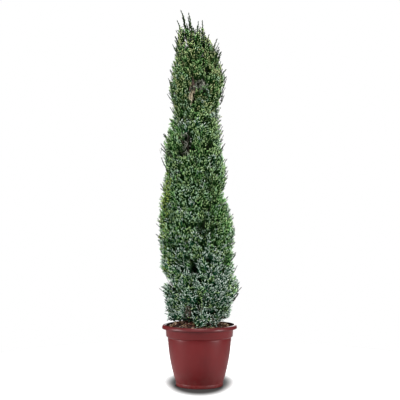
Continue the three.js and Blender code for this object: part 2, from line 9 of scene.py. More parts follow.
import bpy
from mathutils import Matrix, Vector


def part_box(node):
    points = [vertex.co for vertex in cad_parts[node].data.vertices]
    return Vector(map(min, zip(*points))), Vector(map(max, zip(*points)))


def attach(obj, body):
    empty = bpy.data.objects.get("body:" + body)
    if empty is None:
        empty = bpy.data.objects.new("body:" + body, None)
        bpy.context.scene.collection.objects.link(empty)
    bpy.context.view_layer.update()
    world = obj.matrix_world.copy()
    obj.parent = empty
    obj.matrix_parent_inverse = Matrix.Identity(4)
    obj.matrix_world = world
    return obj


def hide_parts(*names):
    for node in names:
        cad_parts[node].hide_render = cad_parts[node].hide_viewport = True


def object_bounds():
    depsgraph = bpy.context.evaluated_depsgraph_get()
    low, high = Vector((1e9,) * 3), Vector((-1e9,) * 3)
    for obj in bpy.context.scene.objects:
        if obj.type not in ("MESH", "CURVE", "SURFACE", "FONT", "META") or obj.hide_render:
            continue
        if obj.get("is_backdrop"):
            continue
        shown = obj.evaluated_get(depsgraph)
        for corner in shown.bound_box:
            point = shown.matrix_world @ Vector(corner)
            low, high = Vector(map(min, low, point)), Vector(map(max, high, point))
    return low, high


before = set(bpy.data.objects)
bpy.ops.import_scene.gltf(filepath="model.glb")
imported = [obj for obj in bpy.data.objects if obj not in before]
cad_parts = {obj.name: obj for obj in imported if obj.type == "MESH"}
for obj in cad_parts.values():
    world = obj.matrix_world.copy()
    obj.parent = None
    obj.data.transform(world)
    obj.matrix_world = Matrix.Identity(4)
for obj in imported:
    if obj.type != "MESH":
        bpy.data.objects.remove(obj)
cad_box = [list(corner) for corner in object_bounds()]

# %% Libraries, the size of things and a clean selection
import itertools
import math

import bmesh
import bpy
import numpy as np
from mathutils import Vector, noise

MM = 0.001
TOUCHING = 0.01 * MM  # vertices that are closer than this are one
SEED = 20
bpy.ops.object.select_all(action="DESELECT")
print("the packed model has", len(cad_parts), "nodes and stands", round(cad_box[1][2], 3), "m tall")

# %% [markdown]
# ## Working by hand, in code
#
# The pot, the soil and the trunk are modelled with the tools that a hand would use in Blender: add a circle,
# extrude it, scale the new ring, extrude again. An operator works on whatever is selected, so a few helpers
# keep the selection clean: they open a piece in edit mode, choose vertices by their place, and close it.

# %% Helpers for edit mode
def start_ring(name, radius, height, sides, fill="NOTHING"):
    """A new circle in edit mode, all of it selected, as the first ring of a turned or lofted piece."""
    bpy.ops.object.select_all(action="DESELECT")
    bpy.ops.mesh.primitive_circle_add(
        vertices=sides, radius=radius, fill_type=fill, location=(0, 0, height), enter_editmode=False
    )
    piece = bpy.context.active_object
    piece.name = name
    bpy.ops.object.transform_apply(location=True, rotation=True, scale=True)
    bpy.ops.object.mode_set(mode="EDIT")
    bpy.ops.mesh.select_mode(type="VERT")
    bpy.ops.mesh.select_all(action="SELECT")
    return piece


def next_ring(scale, step, middle=(0, 0, 0)):
    """Extrudes the selected ring by a step and scales the new ring about a middle on its own level."""
    bpy.ops.mesh.extrude_region_move(TRANSFORM_OT_translate={"value": step})
    bpy.ops.transform.resize(value=(scale, scale, 1), center_override=middle)


def choose(piece, passes):
    """Selects only the vertices that pass a test on their place, in edit mode."""
    bpy.ops.mesh.select_all(action="DESELECT")
    shape = bmesh.from_edit_mesh(piece.data)
    for vertex in shape.verts:
        vertex.select = bool(passes(vertex.co))
    shape.select_flush(True)
    bmesh.update_edit_mesh(piece.data)


def close_shell():
    """Leaves edit mode with the doubles merged and every face pointing out."""
    bpy.ops.mesh.select_all(action="SELECT")
    bpy.ops.mesh.remove_doubles(threshold=TOUCHING)
    bpy.ops.mesh.normals_make_consistent(inside=False)
    bpy.ops.object.mode_set(mode="OBJECT")


def modify(piece, kind, **settings):
    """Adds a modifier, sets it up and applies it."""
    modifier = piece.modifiers.new(kind.title(), kind)
    for key, value in settings.items():
        setattr(modifier, key, value)
    bpy.context.view_layer.objects.active = piece
    bpy.ops.object.modifier_apply(modifier=modifier.name)


def smooth(piece, degrees):
    """Shades a piece smooth, apart from edges sharper than an angle."""
    bpy.ops.object.select_all(action="DESELECT")
    piece.select_set(True)
    bpy.context.view_layer.objects.active = piece
    bpy.ops.object.shade_smooth_by_angle(angle=math.radians(degrees))
    piece.select_set(False)


def dress(piece, slot, finishes, *replaced):
    """Gives a piece its finishes and the plant's one body, and counts its triangles. Its slot is not used."""
    for finish in finishes:
        piece.data.materials.append(finish)
    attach(piece, "root")
    if replaced:
        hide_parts(*replaced)
    triangles = sum(len(face.vertices) - 2 for face in piece.data.polygons)
    print(f"{piece.name}: {triangles} triangles")
    return triangles


# %% Placing points of a mesh with numpy
def vertices_of(piece):
    """The places of a piece's vertices, one to a row."""
    places = np.empty(3 * len(piece.data.vertices))
    piece.data.vertices.foreach_get("co", places)
    return places.reshape(-1, 3)


def move_vertices(piece, places):
    """Puts a piece's vertices in new places."""
    piece.data.vertices.foreach_set("co", places.ravel())
    piece.data.update()


def noise_at(places, scale, offset=0.0):
    """Soft noise from -1 to 1 at each place, with its own scale along x, y and z."""
    scaled = places * np.asarray(scale) + offset
    return np.array([noise.noise(Vector(place)) for place in scaled])


# %% [markdown]
# ## Colours and shared effects
#
# Colours are named as a picture program shows them and turned into linear light. Three effects are used again
# and again, so each is a node group that is built once: an uneven colour, a fine relief for the bump, and a
# patchy film that fades from one height to another. A group only hands out colours, masks and heights, and
# the shader itself stays in the material, so that any other program can read it.

# %% Colour and node helpers
def tint(red, green, blue):
    """A colour on the 0 to 255 scale of pictures, in the linear light that a shader expects."""
    shares = [value / 255 for value in (red, green, blue)]
    linear = [s / 12.92 if s <= 0.04045 else ((s + 0.055) / 1.055) ** 2.4 for s in shares]
    return (*linear, 1.0)


def new_finish(name, colour, roughness, specular=0.5):
    """A material with one shader, and the coordinates that its patterns read."""
    finish = bpy.data.materials.new(name)
    finish.use_nodes = True
    shader = finish.node_tree.nodes["Principled BSDF"]
    shader.inputs["Base Color"].default_value = colour
    shader.inputs["Roughness"].default_value = roughness
    shader.inputs["Specular IOR Level"].default_value = specular
    return finish, shader


def new_group(name, inputs, outputs):
    """An empty node group with named sockets: (label, socket type, value) and (label, socket type)."""
    group = bpy.data.node_groups.new(name, "ShaderNodeTree")
    for label, kind, value in inputs:
        socket = group.interface.new_socket(label, in_out="INPUT", socket_type=kind)
        if value is not None:
            socket.default_value = value
    for label, kind in outputs:
        group.interface.new_socket(label, in_out="OUTPUT", socket_type=kind)
    return group, group.nodes.new("NodeGroupInput"), group.nodes.new("NodeGroupOutput")


def add_node(tree, kind, values=(), **settings):
    """A node with some of its settings and of its unlinked inputs filled in."""
    node = tree.nodes.new(kind)
    for key, value in settings.items():
        setattr(node, key, value)
    for label, value in dict(values).items():
        node.inputs[label].default_value = value
    return node


def add_range(tree, source, low, high, to_low=0.0, to_high=1.0, kind="LINEAR"):
    """Stretches the values between low and high to a new range, and clamps what lies outside."""
    values = {"From Min": low, "From Max": high, "To Min": to_low, "To Max": to_high}
    node = add_node(tree, "ShaderNodeMapRange", values, interpolation_type=kind)
    tree.links.new(source, node.inputs["Value"])
    return node.outputs["Result"]


# A Mix node has several sockets of the same name, so those for colours are known by their number.
MIX_FIRST, MIX_SECOND, MIXED = 6, 7, 2


# %% Group: uneven colour
VECTOR, FLOAT, COLOUR = "NodeSocketVector", "NodeSocketFloat", "NodeSocketColor"

uneven, source, result = new_group(
    "Uneven colour",
    [
        ("Coordinates", VECTOR, None),
        ("Scale", FLOAT, 20.0),
        ("Common", COLOUR, (0.5, 0.5, 0.5, 1)),
        ("Other", COLOUR, (0.2, 0.2, 0.2, 1)),
        ("Least", FLOAT, 0.42),
        ("Most", FLOAT, 0.64),
    ],
    [("Colour", COLOUR), ("Mask", FLOAT)],
)
cloud = add_node(uneven, "ShaderNodeTexNoise", {"Detail": 5.0, "Roughness": 0.6})
spread = add_node(uneven, "ShaderNodeMapRange")
blend = add_node(uneven, "ShaderNodeMix", data_type="RGBA")
uneven.links.new(source.outputs["Coordinates"], cloud.inputs["Vector"])
uneven.links.new(source.outputs["Scale"], cloud.inputs["Scale"])
uneven.links.new(cloud.outputs["Fac"], spread.inputs["Value"])
uneven.links.new(source.outputs["Least"], spread.inputs["From Min"])
uneven.links.new(source.outputs["Most"], spread.inputs["From Max"])
uneven.links.new(spread.outputs["Result"], blend.inputs["Factor"])
uneven.links.new(source.outputs["Common"], blend.inputs[MIX_FIRST])
uneven.links.new(source.outputs["Other"], blend.inputs[MIX_SECOND])
uneven.links.new(blend.outputs[MIXED], result.inputs["Colour"])
uneven.links.new(spread.outputs["Result"], result.inputs["Mask"])
print("group", uneven.name, "mixes two colours by soft noise")

# %% Group: fine relief
relief, source, result = new_group(
    "Fine relief",
    [
        ("Coordinates", VECTOR, None),
        ("Coarse scale", FLOAT, 60.0),
        ("Fine scale", FLOAT, 600.0),
        ("Fine share", FLOAT, 0.3),
    ],
    [("Height", FLOAT)],
)
coarse = add_node(relief, "ShaderNodeTexNoise", {"Detail": 4.0, "Roughness": 0.6})
fine = add_node(relief, "ShaderNodeTexNoise", {"Detail": 2.0})
share = add_node(relief, "ShaderNodeMath", operation="MULTIPLY")
total = add_node(relief, "ShaderNodeMath", operation="ADD")
for texture, label in ((coarse, "Coarse scale"), (fine, "Fine scale")):
    relief.links.new(source.outputs["Coordinates"], texture.inputs["Vector"])
    relief.links.new(source.outputs[label], texture.inputs["Scale"])
relief.links.new(fine.outputs["Fac"], share.inputs[0])
relief.links.new(source.outputs["Fine share"], share.inputs[1])
relief.links.new(coarse.outputs["Fac"], total.inputs[0])
relief.links.new(share.outputs["Value"], total.inputs[1])
relief.links.new(total.outputs["Value"], result.inputs["Height"])
print("group", relief.name, "adds two sizes of noise for a bump")

# %% Group: a patchy film between two heights
dust_and_painted_light_film, source, result = new_group(
    "Dust and painted light film",
    [
        ("Coordinates", VECTOR, None),
        ("Full at", FLOAT, 0.0),
        ("Gone at", FLOAT, 0.05),
        ("Amount", FLOAT, 0.5),
        ("Scale", FLOAT, 40.0),
    ],
    [("Mask", FLOAT)],
)
split = add_node(dust_and_painted_light_film, "ShaderNodeSeparateXYZ")
fade = add_node(dust_and_painted_light_film, "ShaderNodeMapRange", {"To Min": 1.0, "To Max": 0.0})
patches = add_node(dust_and_painted_light_film, "ShaderNodeTexNoise", {"Detail": 6.0, "Roughness": 0.7})
patch_mask = add_node(dust_and_painted_light_film, "ShaderNodeMapRange", {"From Min": 0.35, "From Max": 0.7})
product = add_node(dust_and_painted_light_film, "ShaderNodeMath", operation="MULTIPLY")
amount = add_node(dust_and_painted_light_film, "ShaderNodeMath", operation="MULTIPLY")
dust_and_painted_light_film.links.new(source.outputs["Coordinates"], split.inputs["Vector"])
dust_and_painted_light_film.links.new(split.outputs["Z"], fade.inputs["Value"])
dust_and_painted_light_film.links.new(source.outputs["Full at"], fade.inputs["From Min"])
dust_and_painted_light_film.links.new(source.outputs["Gone at"], fade.inputs["From Max"])
dust_and_painted_light_film.links.new(source.outputs["Coordinates"], patches.inputs["Vector"])
dust_and_painted_light_film.links.new(source.outputs["Scale"], patches.inputs["Scale"])
dust_and_painted_light_film.links.new(patches.outputs["Fac"], patch_mask.inputs["Value"])
dust_and_painted_light_film.links.new(fade.outputs["Result"], product.inputs[0])
dust_and_painted_light_film.links.new(patch_mask.outputs["Result"], product.inputs[1])
dust_and_painted_light_film.links.new(product.outputs["Value"], amount.inputs[0])
dust_and_painted_light_film.links.new(source.outputs["Amount"], amount.inputs[1])
dust_and_painted_light_film.links.new(amount.outputs["Value"], result.inputs["Mask"])
print("group", dust_and_painted_light_film.name, "fades a patchy film from one height to another")


# %% Placing a group in a finish
def place_group(finish, group, coordinates, **values):
    """Puts a shared group into a material and feeds it the coordinates. Socket names take _ for a space."""
    node = add_node(finish.node_tree, "ShaderNodeGroup", node_tree=group)
    finish.node_tree.links.new(coordinates, node.inputs["Coordinates"])
    for label, value in values.items():
        node.inputs[label.replace("_", " ")].default_value = value
    return node


def own_coordinates(finish, stretch=(1, 1, 1), shift=(0, 0, 0)):
    """The piece's own coordinates, stretched for a grain that runs along it, and shifted."""
    tree = finish.node_tree
    coordinates = add_node(tree, "ShaderNodeTexCoord").outputs["Object"]
    if stretch == (1, 1, 1):
        return coordinates
    mapping = add_node(tree, "ShaderNodeMapping", {"Scale": stretch, "Location": shift})
    tree.links.new(coordinates, mapping.inputs["Vector"])
    return mapping.outputs["Vector"]


def add_bump(finish, shader, height, strength, distance):
    """Feeds a height to the shader's normal."""
    bump = add_node(finish.node_tree, "ShaderNodeBump", {"Strength": strength, "Distance": distance})
    finish.node_tree.links.new(height, bump.inputs["Height"])
    finish.node_tree.links.new(bump.outputs["Normal"], shader.inputs["Normal"])


# %% [markdown]
# ## The camera, the floor and the light
#
# The plant stands on a pale floor in a white studio: one soft light to the left of the camera, one to the
# right, one overhead and a fainter one behind. The floor fades out towards its edge and the world behind it
# is white, so there is no horizon. The world looks white to the camera but lights the plant more softly than
# that, or the dark gaps between the sprays would fill with light. A floor that glows white shows no shadow,
# so the soft shadow where the pot stands is a painted shadow in the floor's finish.

# %% Camera
def aimed(place, target):
    """The turn that points a camera or a light from its place at a target."""
    return (Vector(target) - Vector(place)).to_track_quat("-Z", "Y").to_euler()


CAMERA_PLACE = (0.002, -3.2, 0.60)
CAMERA_TARGET = (0.002, 0.0, 0.737)
CAMERA_LENS = 71.7

camera_data = bpy.data.cameras.new("Camera")
camera_data.lens = CAMERA_LENS
camera = bpy.data.objects.new("Camera", camera_data)
bpy.context.scene.collection.objects.link(camera)
camera.location = CAMERA_PLACE
camera.rotation_euler = aimed(CAMERA_PLACE, CAMERA_TARGET)
bpy.context.scene.camera = camera
bpy.context.scene.view_settings.view_transform = "Standard"
print("camera", round((Vector(CAMERA_TARGET) - Vector(CAMERA_PLACE)).length, 2), "m from the plant")

# %% Floor
FLOOR_RADIUS, FLOOR_SIDES = 1.3, 96
# Painted shadow: the floor is painted dark where the pot stands, and its glow starts only beyond that.
FLOOR_SHADOW_RADIUS = 0.098  # under the pot and close round it the floor is dark and doesn't glow
FLOOR_WHITE_RADIUS = 0.164  # from here on its own glow makes it as white as the world
FLOOR_SOLID_RADIUS = 0.45  # the floor starts to fade out here
FLOOR_STRETCH, FLOOR_SHIFT = 2.08, -0.027  # the dark patch is longer from front to back, and further back
FLOOR_PALE, FLOOR_SHADOW_COLOUR = (0.7, 0.7, 0.7, 1), (0.036, 0.036, 0.035, 1)
FLOOR_GLOW = 0.9
floor = start_ring("floor", FLOOR_RADIUS, 0, FLOOR_SIDES, fill="NGON")
bpy.ops.object.mode_set(mode="OBJECT")
floor_finish, floor_shader = new_finish("Pale floor", FLOOR_PALE, 0.7, 0.2)
tree = floor_finish.node_tree
distance = add_node(tree, "ShaderNodeVectorMath", operation="LENGTH")
patch = own_coordinates(floor_finish, (1, 1 / FLOOR_STRETCH, 1), (0, FLOOR_SHIFT, 0))
tree.links.new(patch, distance.inputs[0])
reach = FLOOR_SHADOW_RADIUS, FLOOR_WHITE_RADIUS
dim = add_range(tree, distance.outputs["Value"], *reach, 0.0, 1.0, "SMOOTHSTEP")
shadow = add_node(tree, "ShaderNodeMix", data_type="RGBA")
shadow.inputs[MIX_FIRST].default_value = FLOOR_SHADOW_COLOUR
shadow.inputs[MIX_SECOND].default_value = FLOOR_PALE
tree.links.new(dim, shadow.inputs["Factor"])
tree.links.new(shadow.outputs[MIXED], floor_shader.inputs["Base Color"])
fade = add_range(tree, distance.outputs["Value"], FLOOR_SOLID_RADIUS, FLOOR_RADIUS, 1.0, 0.0)
tree.links.new(fade, floor_shader.inputs["Alpha"])
glow = add_range(tree, distance.outputs["Value"], *reach, 0.0, FLOOR_GLOW, "SMOOTHSTEP")
seen = add_node(tree, "ShaderNodeMath", operation="MULTIPLY")
tree.links.new(glow, seen.inputs[0])
tree.links.new(add_node(tree, "ShaderNodeLightPath").outputs["Is Camera Ray"], seen.inputs[1])
tree.links.new(seen.outputs["Value"], floor_shader.inputs["Emission Strength"])
floor_shader.inputs["Emission Color"].default_value = (1, 1, 1, 1)
floor.data.materials.append(floor_finish)
floor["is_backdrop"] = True

# %% Lights
WORLD_LIGHT = 0.045
LIT_MIDDLE = (0, 0, 0.6)
# Name, place, width and height, and watts.
SOFTBOXES = [
    ("left softbox", (-2.7, -0.9, 0.9), (0.6, 1.3), 109),
    ("right softbox", (2.5, -1.35, 0.8), (0.6, 1.3), 90),
    ("top softbox", (0.1, -1.5, 3.2), (0.8, 0.8), 101),
    ("back softbox", (0.5, 3.4, 1.3), (1.0, 1.6), 36),
]


def add_softbox(name, place, size, watts):
    """A rectangular light that faces the middle of the plant."""
    data = bpy.data.lights.new(name, "AREA")
    data.shape = "RECTANGLE"
    data.size, data.size_y = size
    data.energy = watts
    light = bpy.data.objects.new(name, data)
    bpy.context.scene.collection.objects.link(light)
    light.location = place
    light.rotation_euler = aimed(place, LIT_MIDDLE)


for softbox in SOFTBOXES:
    add_softbox(*softbox)

world = bpy.data.worlds.new("White studio")
world.use_nodes = True
bpy.context.scene.world = world
backdrop = world.node_tree.nodes["Background"]
backdrop.inputs["Color"].default_value = (1, 1, 1, 1)
ray = add_node(world.node_tree, "ShaderNodeLightPath")
strength = add_range(world.node_tree, ray.outputs["Is Camera Ray"], 0, 1, WORLD_LIGHT, 1.0)
world.node_tree.links.new(strength, backdrop.inputs["Strength"])
print(len(SOFTBOXES), "softboxes and a white world")

# %% [markdown]
# ## The pot
#
# A round nursery pot of about eleven litres is injection moulded in one piece: a rolled lip, a collar under
# it, a step with a fine groove, a belly that narrows to a low bead round the foot, and drain holes in a
# channel underneath. Spin would turn a profile in one go, but going up ring by ring keeps each diameter in
# view, as on a drawing. The sharp corners then get a bevel, because moulded plastic has none.

# %% Sizes of the pot
pot_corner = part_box("pot")[1]
POT_HEIGHT = pot_corner.z
RIM_RADIUS = pot_corner.x
POT_SIDES = 144
WALL = 2.4 * MM
FLOOR_THICKNESS = 5 * MM
COLLAR_TOP_RADIUS = RIM_RADIUS - 14.5 * MM
COLLAR_RADIUS = COLLAR_TOP_RADIUS - 2 * MM
COLLAR_FOOT = POT_HEIGHT - 45 * MM
SHOULDER_HEIGHT = COLLAR_FOOT - 7 * MM
SHOULDER_RADIUS = COLLAR_RADIUS - 6.5 * MM
FOOT_TOP = 31 * MM
FOOT_TOP_RADIUS = 99.5 * MM
FOOT_RADIUS = 93.5 * MM
FOOT_BEVEL = 1.5 * MM
FOOT_BEAD, BEAD_HEIGHT = 0.8 * MM, 14 * MM  # how far the bead round the foot stands out, and its top
GROOVE, GROOVE_RISE = 0.5 * MM, 1.2 * MM  # the groove over the shoulder: how deep, and half its height
BELLY_RADIUS = 122.9 * MM  # pulls the body's curve out between its ends
LIP_FOOT = POT_HEIGHT - 15 * MM  # the lip's lower edge
LIP_EDGE = 4 * MM  # how far above it the lip's rounding starts
MOUTH_RADIUS = RIM_RADIUS - 10 * MM
CHANNEL = (72.5 * MM, 84.5 * MM, 2.5 * MM)  # inner radius, outer radius and depth
DRAIN_HOLES, DRAIN_SIDES = 8, 20
DRAIN_RADIUS = 4.5 * MM
MOULD_ROUNDING = 0.7 * MM


def belly(share, inset=0.0):
    """The body's swelling wall, from the foot at 0 to the shoulder at 1, as (radius, height)."""
    weights = ((1 - share) ** 2, 2 * share * (1 - share), share**2)
    radii = (FOOT_TOP_RADIUS, BELLY_RADIUS, SHOULDER_RADIUS)
    heights = (FOOT_TOP, (FOOT_TOP + SHOULDER_HEIGHT) / 2, SHOULDER_HEIGHT)
    return sum(w * r for w, r in zip(weights, radii)) - inset, sum(w * h for w, h in zip(weights, heights))


def pot_profile():
    """Radius and height of each ring, from the underside round the lip to the inner floor."""
    inner, outer, depth = CHANNEL
    underside = [(inner, 0), (inner + depth / 2, depth), (outer - depth / 2, depth), (outer, 0)]
    foot = [(FOOT_RADIUS - FOOT_BEVEL, 0), (FOOT_RADIUS, FOOT_BEVEL)]
    bead = [(FOOT_RADIUS + FOOT_BEAD, 0.9 * BEAD_HEIGHT), (FOOT_RADIUS + 0.5 * FOOT_BEAD, BEAD_HEIGHT)]
    wall = [belly(share) for share in np.linspace(0, 1, 13)]
    groove = [(SHOULDER_RADIUS - GROOVE, SHOULDER_HEIGHT + GROOVE_RISE)]
    groove += [(SHOULDER_RADIUS, SHOULDER_HEIGHT + 2 * GROOVE_RISE)]
    step = [(COLLAR_RADIUS - GROOVE, COLLAR_FOOT - GROOVE), (COLLAR_RADIUS, COLLAR_FOOT + GROOVE)]
    collar = [(COLLAR_TOP_RADIUS, LIP_FOOT + WALL)]
    lip = [(RIM_RADIUS - WALL, LIP_FOOT), (RIM_RADIUS, LIP_FOOT + LIP_EDGE / 3)]
    roll_width, roll_foot = RIM_RADIUS - MOUTH_RADIUS, LIP_FOOT + LIP_EDGE
    roll = [
        (MOUTH_RADIUS + roll_width * math.cos(turn), roll_foot + (POT_HEIGHT - roll_foot) * math.sin(turn))
        for turn in np.linspace(0, math.pi / 2, 8)
    ]
    mouth = [(MOUTH_RADIUS - WALL, POT_HEIGHT - 0.6 * WALL), (COLLAR_TOP_RADIUS - WALL, LIP_FOOT + WALL)]
    lining = [(COLLAR_RADIUS - WALL, COLLAR_FOOT)] + [belly(share, WALL) for share in np.linspace(1, 0, 7)]
    inner_floor = [(FOOT_RADIUS - WALL, FLOOR_THICKNESS)]
    outside = underside + foot + bead + wall + groove + step + collar + lip + roll
    return outside + mouth + lining + inner_floor


# %% Turn the pot
profile = pot_profile()
pot = start_ring("pot_shell", *profile[0], POT_SIDES)
for (radius, height), (next_radius, next_height) in zip(profile, profile[1:]):
    next_ring(next_radius / radius, (0, 0, next_height - height))
bpy.ops.mesh.edge_face_add()
choose(pot, lambda place: place.z < TOUCHING and place.xy.length < CHANNEL[0] + TOUCHING)
bpy.ops.mesh.edge_face_add()
close_shell()
modify(pot, "BEVEL", width=MOULD_ROUNDING, segments=2, limit_method="ANGLE", angle_limit=math.radians(24))
print("pot turned in", len(profile), "rings")

# %% Drill the drain holes
cutters = []
for i in range(DRAIN_HOLES):
    turn = 2 * math.pi * (i + 0.5) / DRAIN_HOLES
    middle = (CHANNEL[0] + CHANNEL[1]) / 2
    place = (middle * math.sin(turn), -middle * math.cos(turn), 0)
    bpy.ops.object.select_all(action="DESELECT")
    bpy.ops.mesh.primitive_cylinder_add(
        vertices=DRAIN_SIDES, radius=DRAIN_RADIUS, depth=4 * FLOOR_THICKNESS, location=place
    )
    cutters.append(bpy.context.active_object)
for cutter in cutters:
    cutter.select_set(True)
bpy.ops.object.join()
drill = bpy.context.active_object
modify(pot, "BOOLEAN", object=drill, operation="DIFFERENCE", solver="EXACT")
bpy.data.objects.remove(drill)
smooth(pot, 35)
print(DRAIN_HOLES, "drain holes")

# %% [markdown]
# The plastic is dyed through, a dull wine red with a satin skin. Nothing on it is one flat colour: the dye is
# a little uneven, splashed soil has dried to a pale film on the lower wall, a line of painted shade lies
# under the lip, and the upper lip is painted a duller, paler red as a painted sheen. Each of these is the
# same film group with its own values, laid over what is there already.

# %% Finish of the pot
WINE_RED, DARKER_RED = tint(95, 24, 26), tint(87, 22, 24)
POT_ROUGHNESS = (0.36, 0.47)  # where the dye is common, and where it is darker
# Colour of each film, the height where it is full, where it is gone, how much of it, and its patches' scale.
POT_FILMS = [
    (tint(150, 118, 108), 0.0, 70 * MM, 0.13, 55.0),
    # Painted shade: a dark line under the lip and along its lower edge, where the lip shades the collar.
    (tint(58, 18, 20), LIP_FOOT + 1 * MM, LIP_FOOT - 4 * MM, 1.0, 9.0),
    # Painted sheen: the upper lip is painted a duller, paler red where a soft highlight lies on it.
    (tint(86, 32, 34), LIP_FOOT + 5 * MM, LIP_FOOT + 1 * MM, 1.2, 9.0),
]
pot_finish, pot_shader = new_finish("Wine red plastic", WINE_RED, POT_ROUGHNESS[0], 0.22)
coordinates = own_coordinates(pot_finish)
tree = pot_finish.node_tree
dye = place_group(pot_finish, uneven, coordinates, Scale=7.0, Common=WINE_RED, Other=DARKER_RED)
skin_colour = dye.outputs["Colour"]
for colour, full_at, gone_at, amount, scale in POT_FILMS:
    film = place_group(
        pot_finish, dust_and_painted_light_film, coordinates, Full_at=full_at, Gone_at=gone_at, Amount=amount, Scale=scale
    )
    filmed = add_node(tree, "ShaderNodeMix", data_type="RGBA")
    filmed.inputs[MIX_SECOND].default_value = colour
    tree.links.new(film.outputs["Mask"], filmed.inputs["Factor"])
    tree.links.new(skin_colour, filmed.inputs[MIX_FIRST])
    skin_colour = filmed.outputs[MIXED]
tree.links.new(skin_colour, pot_shader.inputs["Base Color"])
roughness = add_range(tree, dye.outputs["Mask"], 0, 1, *POT_ROUGHNESS)
tree.links.new(roughness, pot_shader.inputs["Roughness"])
skin = place_group(pot_finish, relief, coordinates, Coarse_scale=40.0, Fine_scale=1500.0, Fine_share=0.12)
add_bump(pot_finish, pot_shader, skin.outputs["Height"], 0.12, 0.5 * MM)
dress(pot, "pot", [pot_finish], "pot")

# %% [markdown]
# ## The soil
#
# The root ball fills the pot and rises in a mound in which the foot of the stem stands. Its top is modelled
# as a disc of rings that noise lifts into crumbs, and small things lie on it as they do on any potting mix:
# bits of bark, white grains of perlite, and the brown shoots that the tree has shed. Those are hundreds of
# copies of a few tiny shapes, so all of them are one joined mesh that is filled from arrays.

# %% Body of the soil
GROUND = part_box("trunk")[0].z
GAP = 0.3 * MM  # between the soil and the pot
SOIL_EDGE = POT_HEIGHT - 12 * MM
SOIL_MOUND = 32 * MM
SOIL_SIDES, SOIL_RINGS = 96, 22
RING_RISE = 0.3 * MM  # each ring of the top starts a little higher than the last
soil_radius = COLLAR_RADIUS - WALL - GAP
soil_walls = [(FOOT_RADIUS - WALL - GAP, FLOOR_THICKNESS + GAP)]
soil_walls += [belly(share, WALL + GAP) for share in np.linspace(0, 1, 6)]
soil_walls += [(soil_radius, COLLAR_FOOT), (soil_radius + 0.6 * MM, SOIL_EDGE)]
soil = start_ring("potting_soil", *soil_walls[0], SOIL_SIDES)
bpy.ops.mesh.edge_face_add()
for (radius, height), (next_radius, next_height) in zip(soil_walls, soil_walls[1:]):
    next_ring(next_radius / radius, (0, 0, next_height - height))
radius = edge_radius = soil_walls[-1][0]
for i in range(1, SOIL_RINGS):
    inner = edge_radius * (1 - i / SOIL_RINGS)
    next_ring(inner / radius, (0, 0, RING_RISE))
    radius = inner
bpy.ops.mesh.edge_face_add()
close_shell()

# %% The mound and its crumbs
LUMPS, LUMP_SCALE = 2.2, 90  # how high in mm, and how fine
CRUMBS, CRUMB_SCALE, CRUMB_SHIFT = 1.5, 260, 7.0
EDGE_STAYS = 4 * MM  # the outer ring stays level over this width
modify(soil, "SUBSURF", levels=2, render_levels=2, subdivision_type="SIMPLE")
places = vertices_of(soil)
distance = np.hypot(places[:, 0], places[:, 1])
on_top = places[:, 2] > SOIL_EDGE - 1 * MM
free = on_top * np.clip((soil_radius - distance) / EDGE_STAYS, 0, 1)
crumbs = np.abs(noise_at(places, (CRUMB_SCALE, CRUMB_SCALE, 0), CRUMB_SHIFT))
lift = LUMPS * noise_at(places, (LUMP_SCALE, LUMP_SCALE, 0)) + CRUMBS * crumbs
mound = SOIL_MOUND * (1 - np.clip(distance / soil_radius, 0, 1) ** 2.0)
level = SOIL_EDGE + mound + MM * lift
places[:, 2] = np.where(free > 0, level * free + places[:, 2] * (1 - free), places[:, 2])
move_vertices(soil, places)
smooth(soil, 180)
print("soil from", round(soil_walls[0][1], 4), "to", round(places[:, 2].max(), 4), "m")

# %% Finish of the soil
DAMP_SOIL, DRY_SOIL = tint(32, 21, 18), tint(64, 42, 35)
soil_finish, soil_shader = new_finish("Potting soil", DAMP_SOIL, 0.95, 0.25)
coordinates = own_coordinates(soil_finish)
mix = place_group(soil_finish, uneven, coordinates, Scale=130.0, Common=DAMP_SOIL, Other=DRY_SOIL)
soil_finish.node_tree.links.new(mix.outputs["Colour"], soil_shader.inputs["Base Color"])
grit = place_group(soil_finish, relief, coordinates, Coarse_scale=260.0, Fine_scale=1200.0, Fine_share=0.5)
add_bump(soil_finish, soil_shader, grit.outputs["Height"], 0.7, 1.2 * MM)
dress(soil, "soil", [soil_finish], "soil")


# %% [markdown]
# ## Many small things as one mesh
#
# A shape that repeats thousands of times is kept to a few faces, or to some two hundred for a whole spray,
# and copied with numpy: one template, one turned and scaled frame for each copy, and all the corners worked
# out in one product of matrices. Each copy also carries the number of its finish, so a whole cloud of sprays
# in many greens is still one mesh.

# %% Templates and copies
def frames_from(roots, along, facing, lengths, widths=None):
    """Frames whose y runs along a direction and whose z turns to a facing, with their roots and scale."""
    along = along / np.linalg.norm(along, axis=1, keepdims=True)
    across = np.cross(along, facing)
    across /= np.linalg.norm(across, axis=1, keepdims=True)
    upward = np.cross(across, along)
    widths = lengths if widths is None else widths
    axes = np.stack([across * widths[:, None], along * lengths[:, None], upward * widths[:, None]], axis=2)
    return np.concatenate([axes, roots[:, :, None]], axis=2)


